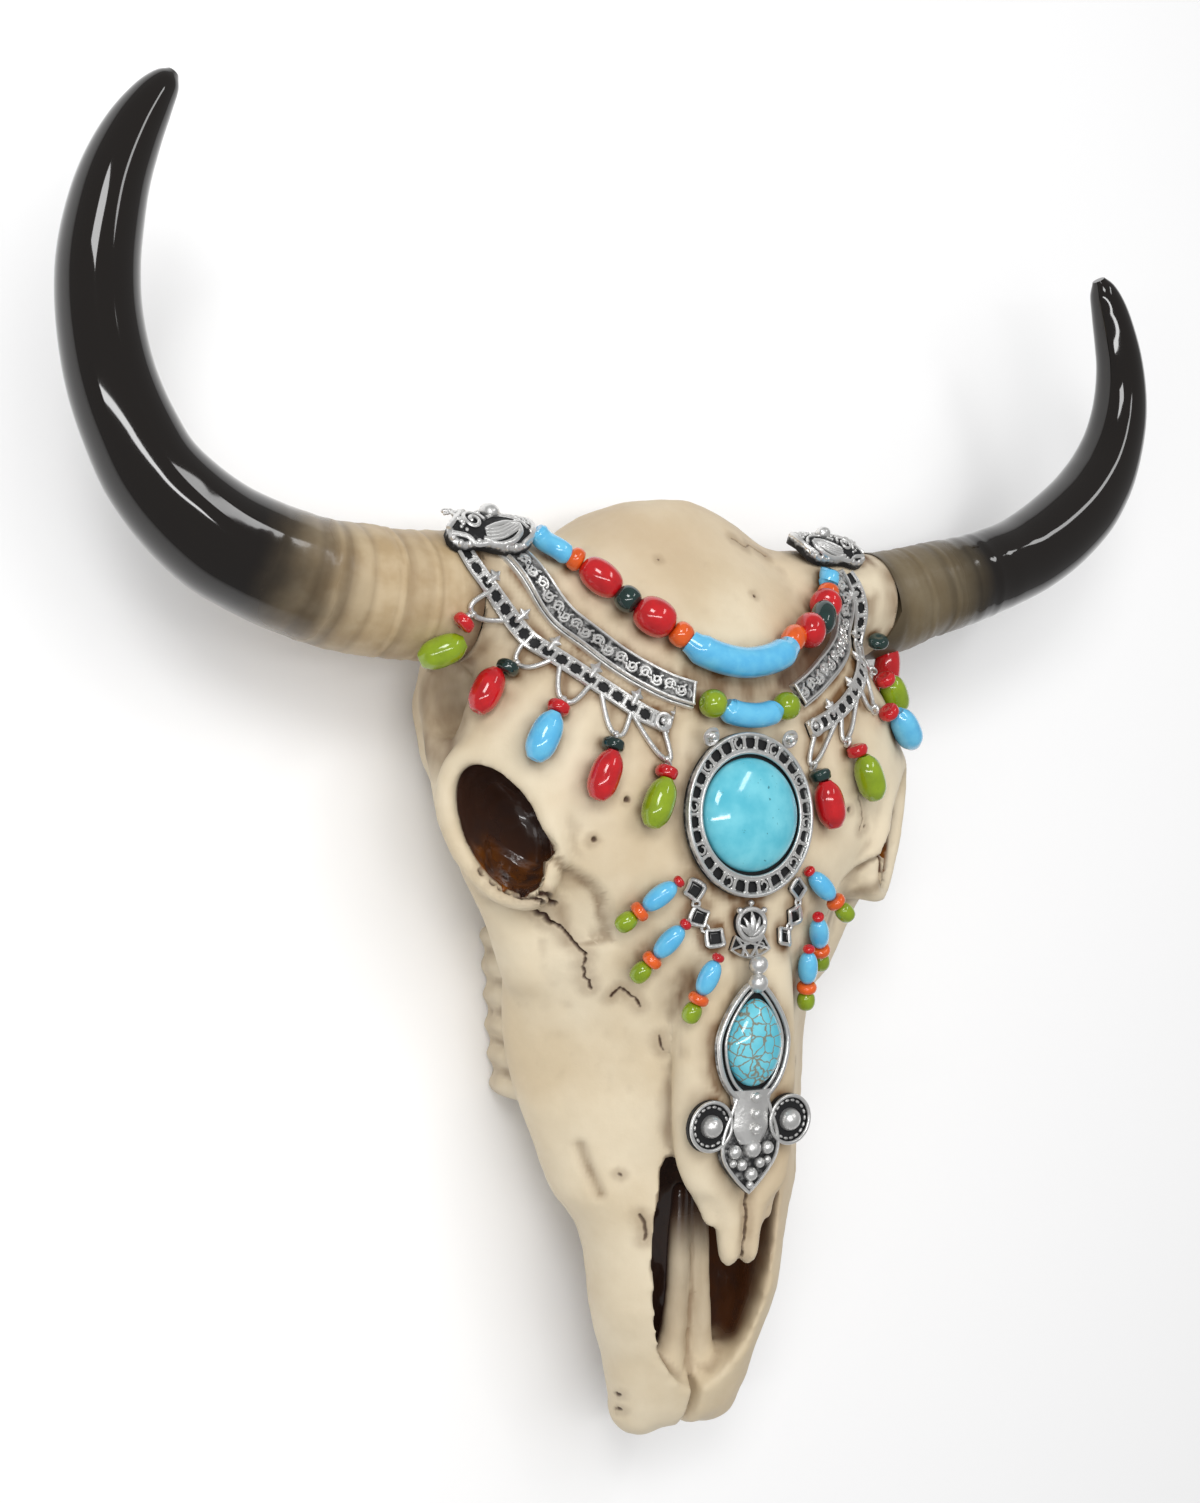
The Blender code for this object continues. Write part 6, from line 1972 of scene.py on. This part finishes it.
@dataclass
class Clasps:
    """The filigree clasps on the horn roots."""

    places: tuple = (
        ("left", (-80.6, -51.4), (27.0, 89.0), 59.2, 42.0),
        ("right", (32.2, 56.8), (30.0, 74.0), 64.2, 42.0),
    )
    # Millimetres on the plate for one share along and one share round
    scale: tuple = (11.75, 9.0)
    leaf: tuple = (
        (-0.96, -0.45), (-0.62, 0.06), (-0.36, 0.56), (0.0, 0.86), (0.42, 0.92), (0.78, 0.72),
        (0.96, 0.25), (0.82, -0.45), (0.55, -0.82), (0.15, -0.9), (-0.35, -0.84), (-0.72, -0.92),
        (-0.93, -0.76),
    )

    def build(self, silver: bpy.types.Material) -> None:
        """Make both clasps over their solids."""
        for side, across, angles, y, z in self.places:
            points = node_points(f"clasp_{side}")
            middle_x, half = sum(across) / 2, (across[1] - across[0]) / 2
            spread = np.hypot(points[:, 1] - y, points[:, 2] - z)
            lowest, highest = spread.min(), spread.max()
            turn = math.radians(sum(angles) / 2)
            sweep = math.radians((angles[1] - angles[0]) / 2)

            def wrap(flat: np.ndarray) -> np.ndarray:
                """Bend (along, round, up) points, in shares and millimetres, over the root."""
                x = middle_x + flat[:, 0] * half
                angle = turn + flat[:, 1] * sweep
                crown = np.clip(1 - np.abs(flat[:, 1]) ** 2.2, 0, 1) * (1 - 0.35 * flat[:, 0] ** 2)
                reach = lowest + (highest - lowest) * (0.3 + 0.5 * crown) + flat[:, 2]
                return np.stack([x, y + reach * np.sin(angle), z + reach * np.cos(angle)], axis=1)

            batch = self.filigree(1 if side == "left" else -1).bent(wrap)
            settle(batch.make(f"{side}_filigree_clasp", silver), "silver", f"clasp_{side}")

    def filigree(self, hand: int) -> Batch:
        """The clasp's flat pattern: shares along and round, height in millimetres."""
        batch = Batch()
        count = 44
        leaf = smooth_run([*self.leaf, self.leaf[0]], count + 1)[:-1] * (hand, 1.0)
        levels = ((1.0, -2.6, 0.2), (1.0, -0.6, 0.45), (0.97, 0.0, 0.8), (0.86, 0.05, 0.3), (0.6, 0.1, 0.2),
                  (0.3, 0.1, 0.2), (0.08, 0.1, 0.2))
        rows = [level(leaf * size, height) for size, height, _ in levels]
        worn = np.repeat([shine for _, _, shine in levels], count)
        batch.add((np.vstack(rows), grid_faces(len(rows), count, False, True)), worn)

        def wire(flat: list, radius: float, lift: float, relief: float = 0.9) -> None:
            """A wire on the plate, its width made even in both directions."""
            line = smooth_run(flat, max(10, len(flat) * 5))
            points, faces = tube(level(line * self.scale, lift), radius, 7)
            batch.add((points / (*self.scale, 1.0), faces), relief)

        def knob(x: float, y: float, size: float, lift: float) -> None:
            """A bright grain on the plate."""
            points, faces = ball((x * self.scale[0], y * self.scale[1], lift), size, 12)
            batch.add((points / (*self.scale, 1.0), faces), 1.0)

        spiral = []
        for t in np.linspace(0, 1.6, 20):
            size, angle = 1 - t * 0.55, 6.5 * t
            spiral.append((-0.40 + 0.22 * size * math.cos(angle), -0.22 + 0.34 * size * math.sin(angle)))
        for line, size, lift in (
            (spiral, 0.42, 0.45),
            (((-0.93, -0.5), (-0.62, 0.0), (-0.38, 0.5), (-0.02, 0.8), (0.42, 0.86)), 0.5, 0.35),
            (((0.42, 0.86), (0.74, 0.66), (0.9, 0.22), (0.78, -0.42), (0.5, -0.76)), 0.6, 0.35),
            (((-0.2, -0.5), (0.05, -0.34), (0.3, -0.22), (0.52, -0.22)), 0.5, 0.5),
            (((-0.3, -0.74), (0.0, -0.84), (0.3, -0.72), (0.5, -0.46), (0.52, -0.22)), 0.6, 0.4),
            (((-0.9, -0.62), (-0.6, -0.7), (-0.45, -0.86), (-0.2, -0.82)), 0.5, 0.3),
            (((-0.1, -0.1), (0.1, 0.06), (0.35, 0.1), (0.6, -0.02), (0.7, -0.3)), 0.45, 0.3),
            (((-0.84, -0.34), (-0.7, -0.1), (-0.72, 0.1), (-0.6, 0.2)), 0.4, 0.3),
            (((0.62, 0.5), (0.5, 0.3), (0.62, 0.1), (0.76, 0.2), (0.68, 0.4)), 0.45, 0.4),
            (((0.3, 0.62), (0.42, 0.5), (0.34, 0.34), (0.2, 0.4)), 0.4, 0.4),
        ):
            wire([(x * hand, y) for x, y in line], size, lift)
        petal = ((-0.24, -0.62), (-0.05, -0.6), (0.15, -0.52), (0.36, -0.36), (0.48, -0.24))
        for shift in (-0.12, -0.04, 0.04, 0.12):
            wire([(x * hand, y + shift) for x, y in petal], 0.33, 0.45, 1.0)
        knob(0.08 * hand, 0.22, 2.2, 0.9)
        for x, y in smooth_run(self.leaf, 30) * (0.94 * hand, 0.94):
            knob(x, y, 0.7, 0.0)
        chance = np.random.default_rng(12)
        for _ in range(120):
            x, y = chance.uniform(-0.85, 0.9), chance.uniform(-0.85, 0.85)
            if abs(x) + abs(y) < 1.2 and (x < -0.55 or x > 0.55 or y > 0.1):
                knob(x * hand, y, chance.uniform(0.4, 0.8), 0.2)
        return batch


class Tint(Enum):
    """The bead colours, as the record's slots name them."""

    BLUE = "blue_bead"
    RED = "red_bead"
    DARK_GREEN = "dark_green_bead"
    ORANGE = "orange_bead"
    LIME = "lime_bead"


@dataclass
class Beads:
    """Every bead, each in the place of its own solid."""

    finishes: dict
    ground: Ground
    sides: int = 28
    strand: tuple = (
        ("strand_tube_left", Tint.BLUE), ("strand_orange_left_outer", Tint.ORANGE),
        ("strand_red_left", Tint.RED), ("strand_dark_left", Tint.DARK_GREEN),
        ("strand_round_left", Tint.RED), ("strand_orange_left_inner", Tint.ORANGE),
        ("strand_tube_centre", Tint.BLUE), ("strand_orange_right_inner", Tint.ORANGE),
        ("strand_round_right", Tint.RED), ("strand_dark_right", Tint.DARK_GREEN),
        ("strand_red_right", Tint.RED), ("strand_orange_right_outer", Tint.ORANGE),
        ("strand_tube_right", Tint.BLUE),
    )
    second: tuple = (
        ("second_green_left", Tint.LIME), ("second_tube", Tint.BLUE), ("second_green_right", Tint.LIME),
    )
    dangles: tuple = (
        ("left_1", Tint.RED, Tint.LIME), ("left_2", Tint.DARK_GREEN, Tint.RED),
        ("left_3", Tint.RED, Tint.BLUE), ("left_4", Tint.DARK_GREEN, Tint.RED),
        ("left_5", Tint.RED, Tint.LIME), ("right_1", Tint.DARK_GREEN, Tint.RED),
        ("right_2", Tint.RED, Tint.LIME), ("right_3", Tint.RED, Tint.BLUE),
        ("right_4", Tint.RED, Tint.LIME), ("right_5", Tint.DARK_GREEN, Tint.RED),
    )
    drops: tuple = (
        ("left_a", 0.0, 0.3), ("left_b", 1.4, 0.2), ("left_c", 3.4, -0.8),
        ("right_a", -0.8, 1.0), ("right_b", -0.8, 0.9), ("right_c", 2.0, 0.8),
    )
    drop_growth: float = 1.12
    tubes: ClassVar[dict] = {
        "strand_tube_left": (((-53.6, 76.2), (-51.0, 73.6), (-48.2, 71.0), (-45.8, 69.4)), 2.9),
        "strand_tube_centre": (((-15.4, 45.6), (-11, 43.4), (-5.5, 41.9), (0, 41.3), (5.5, 41.9),
                                (11, 43.4), (16, 45.8)), 4.3),
        "strand_tube_right": (((40.2, 67.8), (40.6, 69.2), (41.0, 70.6), (41.2, 72.0)), 2.9),
        "second_tube": (((-6.6, 28.2), (-2.6, 27.2), (1.4, 26.9), (5.4, 27.2), (9.4, 28.3)), 3.5),
    }

    def axis_of(self, points: np.ndarray,
                short: bool = False) -> tuple[np.ndarray, np.ndarray, float, float]:
        """A solid bead's middle, axis, half length and radius.

        Args:
            points: the solid's points.
            short: whether the bead is wider than long, so that its axis is the short one.

        Returns:
            Middle, axis, half length, radius.
        """
        spread = np.unique(points.round(2), axis=0)
        middle = spread.mean(axis=0)
        _, axes = np.linalg.eigh(np.cov((spread - middle).T))
        axis = axes[:, 0] if short else axes[:, 2]
        along = (spread - middle) @ axis
        across = np.linalg.norm((spread - middle) - np.outer(along, axis), axis=1)
        return middle, axis, float(np.abs(along).max()), float(across.max())

    def place(self, shape: Shape, middle: np.ndarray, axis: np.ndarray) -> Shape:
        """Turn a shape's local Y to an axis and move it to a middle."""
        turn = np.array(Vector(axis).to_track_quat("Y", "Z").to_matrix())
        return shape[0] @ turn.T + middle, shape[1]

    def bead(self, name: str, shape: Shape, tint: Tint, *nodes: str) -> None:
        """Make one bead."""
        settle(new_object(name, shape, self.finishes[tint]), tint.value, *nodes)

    def profile(self, half: float, radius: float, power: float) -> list:
        """A bead's outline with a small rim and dimple round its hole."""
        hole = min(1.0, radius * 0.3)
        rows = [(-half * 0.86, hole * 0.4), (-half * 0.99, hole)]
        for t in np.linspace(-1, 1, 15)[1:-1]:
            rows.append((half * math.sin(t * math.pi / 2), radius * math.cos(t * math.pi / 2) ** power))
        rows += [(half * 0.99, hole), (half * 0.86, hole * 0.4)]
        return [row for row in rows if row[1] >= hole or row in (rows[0], rows[-1])]

    def build(self) -> None:
        """Make all beads."""
        for chain in (self.strand, self.second):
            self.thread(chain)
        for name, cap_tint, tint in self.dangles:
            self.dangle(name, cap_tint, tint)
        for name, x, y in self.drops:
            self.drop(name, x, y)

    def thread(self, chain: Sequence[tuple[str, Tint]]) -> None:
        """Make a strand whose beads meet half way between their solids.

        Args:
            chain: each solid's name and colour, from left to right.
        """
        rows = []
        for node, tint in chain:
            if "tube" in node:
                line, radius = self.tube_line(node)
                rows.append((line[0], line[-1], radius))
                continue
            short = tint in (Tint.ORANGE, Tint.DARK_GREEN) or node.startswith("second")
            middle, axis, half, radius = self.axis_of(node_points(node), short)
            axis = axis * (1 if axis[0] > 0 else -1)
            rows.append((middle - axis * half, middle + axis * half, radius))
        for number, (node, tint) in enumerate(chain):
            low, high, radius = rows[number]
            if number > 0:
                low = (low + rows[number - 1][1]) / 2
            if number < len(chain) - 1:
                high = (high + rows[number + 1][0]) / 2
            if "tube" in node:
                self.bent_tube(node, low, high)
                continue
            half = np.linalg.norm(high - low) / 2
            power = {Tint.ORANGE: 0.5, Tint.DARK_GREEN: 0.5, Tint.LIME: 0.7}.get(tint, 0.66)
            shape = turned(self.profile(half, radius * 1.04, power), self.sides)
            self.bead(f"bead_{node}", self.place(shape, (low + high) / 2, unit(high - low)), tint, node)

    def dangle(self, name: str, cap_tint: Tint, tint: Tint) -> None:
        """A cap ring and the long bead under it."""
        cap_middle, cap_axis, cap_half, cap_radius = self.axis_of(node_points(f"cap_{name}"), True)
        middle, axis, half, radius = self.axis_of(node_points(f"dangle_{name}"))
        if axis @ (cap_middle - middle) < 0:
            axis = -axis
        reach = half + max(0.0, float((cap_middle - middle) @ axis) - cap_half - half) * 0.9
        outline = [(-half * 0.9, 0.7), (-half * 0.99, 1.3), (-half * 0.99, radius * 0.42),
                   (-half * 0.94, radius * 0.56)]
        for t in np.linspace(-0.84, 0.92, 15):
            bulge = (1 - abs(t) ** 2.7 / 1.05) ** 0.5
            outline.append(((half if t < 0 else reach) * t, radius * 1.03 * bulge))
        outline += [(reach * 0.99, radius * 0.4), (reach * 0.94, 0.6)]
        shape = self.place(turned(outline, self.sides), middle, axis)
        self.bead(f"bead_{name}", shape, tint, f"dangle_{name}")
        points, faces = turned(self.profile(cap_half * 1.15, cap_radius * 1.12, 0.4), self.sides)
        facet = 1 + 0.07 * soft_noise(points + len(name), 1.1, ord(name[-1]))
        points = points * np.stack([facet, np.ones_like(facet), facet], axis=1)
        self.bead(f"ring_{name}", self.place((points, faces), cap_middle, cap_axis), cap_tint, f"cap_{name}")

    def drop(self, name: str, x: float, y: float) -> None:
        """Four small beads in the place of one solid.

        Args:
            name: the drop's side and letter.
            x: how far they lie to the right of the solid.
            y: how far they lie above it.
        """
        middle, axis, half, _ = self.axis_of(node_points(f"drop_{name}"))
        half *= self.drop_growth
        rise = self.ground.hit(middle[0] + x, middle[1] + y)[0][2] - self.ground.hit(*middle[:2])[0][2]
        middle = middle + (x, y, rise)
        if axis @ (np.zeros(3) - middle * (1, 1, 0)) < 0:
            axis = -axis
        pieces = (
            ("red", Tint.RED, 0.98, 0.11, 1.7, 0.5), ("spindle", Tint.BLUE, 0.37, 0.50, 2.8, 0.74),
            ("orange", Tint.ORANGE, -0.27, 0.15, 2.85, 0.4), ("ball", Tint.LIME, -0.70, 0.29, 2.6, 0.62),
        )
        for label, tint, place, reach, size, power in pieces:
            shape = turned(self.profile(half * reach, size, power), 24)
            shape = self.place(shape, middle + axis * half * place, axis)
            nodes = (f"drop_{name}",) if label == "spindle" else ()
            self.bead(f"drop_{name}_{label}", shape, tint, *nodes)

    def tube_line(self, node: str) -> tuple[np.ndarray, float]:
        """The middle line and radius of a long solid bead.

        Args:
            node: the solid's name.

        Returns:
            Points along it from left to right, and its radius.
        """
        points = np.unique(node_points(node).round(2), axis=0)
        places, radius = self.tubes[node]
        centres = []
        for x, y in places:
            near = points[np.argsort(np.hypot(points[:, 0] - x, points[:, 1] - y))[:8]]
            centres.append((x, y, near[:, 2].mean()))
        return smooth_run(centres, 40), radius

    def bent_tube(self, node: str, low: np.ndarray, high: np.ndarray) -> None:
        """A long bead bent along the strand, from one end point to the other."""
        line, radius = self.tube_line(node)
        line[0], line[-1] = low, high
        line = even_out(line, 2)
        share = np.linspace(-1, 1, 40)
        size = radius * (1 - 0.25 * smooth_step(np.abs(share), 0.84, 1.0))
        self.bead(f"bead_{node}", tube(line, size, self.sides), Tint.BLUE, node)


@dataclass
class Studio:
    """A pale floor, soft light and the photograph's camera."""

    yaw: float = math.radians(30.0)
    pitch: float = math.radians(-3.5993)
    roll: float = math.radians(0.59984)
    focal_pixels: float = 1787.60
    image_height: float = 1503.0
    sensor: float = 36.0
    shift_across: float = 0.0404247
    shift_up: float = -0.0169960
    distance: float = 0.48
    face_height: float = 0.078

    def camera(self) -> None:
        """Stand the camera where the photograph was taken from."""
        right = np.array((math.cos(self.yaw), -math.sin(self.yaw), 0.0))
        ahead = np.array((math.sin(self.yaw) * math.cos(self.pitch),
                          math.cos(self.yaw) * math.cos(self.pitch), -math.sin(self.pitch)))
        up = np.cross(right, ahead)
        turned_right = right * math.cos(self.roll) - up * math.sin(self.roll)
        turned_up = up * math.cos(self.roll) + right * math.sin(self.roll)
        spot = -(self.shift_across * turned_right + self.shift_up * turned_up + self.distance * ahead)
        lay = np.array(((1, 0, 0), (0, 0, 1), (0, -1, 0)), float)
        axes = np.stack([lay @ turned_right, lay @ turned_up, -(lay @ ahead)], axis=1)
        matrix = Matrix(axes.tolist()).to_4x4()
        matrix.translation = lay @ spot + np.array((0, 0, self.face_height))
        data = bpy.data.cameras.new("camera")
        data.sensor_fit = "VERTICAL"
        data.sensor_height = self.sensor
        data.lens = self.focal_pixels / self.image_height * self.sensor
        data.clip_start = 0.01
        camera = bpy.data.objects.new("camera", data)
        camera.matrix_world = matrix
        bpy.context.scene.collection.objects.link(camera)
        bpy.context.scene.camera = camera

    def light(self, name: str, place: Sequence[float], size: Sequence[float], power: float,
              mirrored: bool = True) -> None:
        """A rectangular soft light that faces the skull, mirrored in its glossy surfaces or not."""
        data = bpy.data.lights.new(name, "AREA")
        data.shape = "RECTANGLE"
        data.size, data.size_y = size
        data.energy = power
        lamp = bpy.data.objects.new(name, data)
        lamp.location = place
        lamp.visible_glossy = mirrored
        lamp.rotation_euler = (Vector((0, 0, 0.05)) - Vector(place)).to_track_quat("-Z", "Y").to_euler()
        bpy.context.scene.collection.objects.link(lamp)

    def build(self) -> None:
        """Lay the floor, hang the lights and stand the camera."""
        material, graph, shader = new_material("floor", {"Roughness": 0.7})
        tone = graph.mix(graph.noise(3.0, 2.0), (0.98, 0.98, 0.98), (0.96, 0.96, 0.965))
        feed(graph, shader, {"Base Color": tone})
        mesh = bpy.data.meshes.new("floor")
        shape = bmesh.new()
        bmesh.ops.create_grid(shape, x_segments=8, y_segments=8, size=3.0)
        bmesh.ops.translate(shape, verts=shape.verts, vec=(0, 0, -0.0005))
        shape.to_mesh(mesh)
        shape.free()
        mesh.materials.append(material)
        floor = bpy.data.objects.new("floor", mesh)
        bpy.context.scene.collection.objects.link(floor)
        world = bpy.data.worlds.new("studio")
        world.use_nodes = True
        world.node_tree.nodes["Background"].inputs["Color"].default_value = (1.0, 1.0, 1.0, 1.0)
        world.node_tree.nodes["Background"].inputs["Strength"].default_value = 0.30
        bpy.context.scene.world = world
        bpy.context.scene.view_settings.view_transform = "Standard"
        self.light("overhead", (-0.15, 0.25, 1.5), (1.6, 1.6), 13.5, False)
        self.light("key", (-0.55, 0.45, 0.95), (0.30, 0.30), 2.6)
        self.light("strip", (-0.40, -0.05, 0.8), (0.05, 0.9), 1.8)
        self.light("window", (0.35, 0.55, 0.9), (0.10, 0.5), 1.0)
        self.camera()


def stain_and_shadow_near(skull: bpy.types.Object, pieces: list[bpy.types.Object]) -> None:
    """Deepen the bone's brown wash round the jewellery, with painted contact shadow.

    Args:
        skull: the skull.
        pieces: the solids of the jewellery.
    """
    shape = bmesh.new()
    for piece in pieces:
        shape.from_mesh(piece.data)
    tree = BVHTree.FromBMesh(shape)
    shape.free()
    mesh = skull.data
    points, normals = mesh_arrays(mesh)
    wash_and_shade = np.empty(len(points), np.float32)
    mesh.attributes["wash_and_shade"].data.foreach_get("value", wash_and_shade)
    reach = 7.0
    gap = np.full(len(points), reach)
    for i, point in enumerate(points):
        if point[2] > 38 and normals[i, 2] > -0.2:
            found = tree.find_nearest(Vector(point * MM), reach * MM)
            if found[0] is not None:
                gap[i] = found[3] / MM
    uneven = 1 + 0.5 * soft_noise(points, 3.0, 83) + 0.3 * soft_noise(points, 9.0, 89)
    # Brown wash and painted contact shadow, strongest next to the jewellery.
    stain = 0.66 * (1 - smooth_step(gap, 0.2, 2.8)) + 0.34 * (1 - smooth_step(gap, 1.0, 6.8))
    keep(mesh, "wash_and_shade", np.clip(np.maximum(wash_and_shade, stain * uneven), 0, 1))


def main() -> None:
    """Build every piece in order."""
    logging.basicConfig(level=logging.INFO, format="%(message)s")
    silver = SilverFinish().material()
    turquoise = StoneFinish(StoneKind.PLAIN).material()
    veined = StoneFinish(StoneKind.VEINED).material()
    tints = {
        Tint.BLUE: EnamelFinish("blue_enamel", (0.095, 0.44, 0.74), (0.16, 0.56, 0.80)),
        Tint.RED: EnamelFinish("red_enamel", (0.56, 0.008, 0.012), (0.36, 0.004, 0.008)),
        Tint.DARK_GREEN: EnamelFinish("dark_green_enamel", (0.010, 0.035, 0.030), (0.004, 0.012, 0.011)),
        Tint.ORANGE: EnamelFinish("orange_enamel", (0.78, 0.12, 0.012), (0.58, 0.07, 0.008)),
        Tint.LIME: EnamelFinish("lime_enamel", (0.25, 0.36, 0.010), (0.17, 0.25, 0.006)),
    }
    skull = Skull().build(BoneFinish().material())
    natural = ("skull", "horn_left", "horn_right")
    jewellery = [node for name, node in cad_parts.items() if name not in natural]
    stain_and_shadow_near(skull, jewellery)
    settle(skull, "bone", "skull")
    horn_finish = HornFinish().material()
    horns = []
    for side in HORN_RUNS:
        horn = Horn(side, HORN_RUNS[side], HORN_FADES[side]).build(horn_finish)
        settle(horn, "horn", f"horn_{side}")
        horns.append(horn)
    ground = Ground(skull, *horns)
    Bars().build(ground, silver)
    Bands().build(ground, silver)
    Medallion().build(silver, turquoise)
    Pendant().build(ground, silver, veined)
    Links().build(ground, silver)
    Clasps().build(silver)
    Beads({tint: finish.material() for tint, finish in tints.items()}, ground).build()
    Studio().build()


if __name__ == "__main__":
    main()
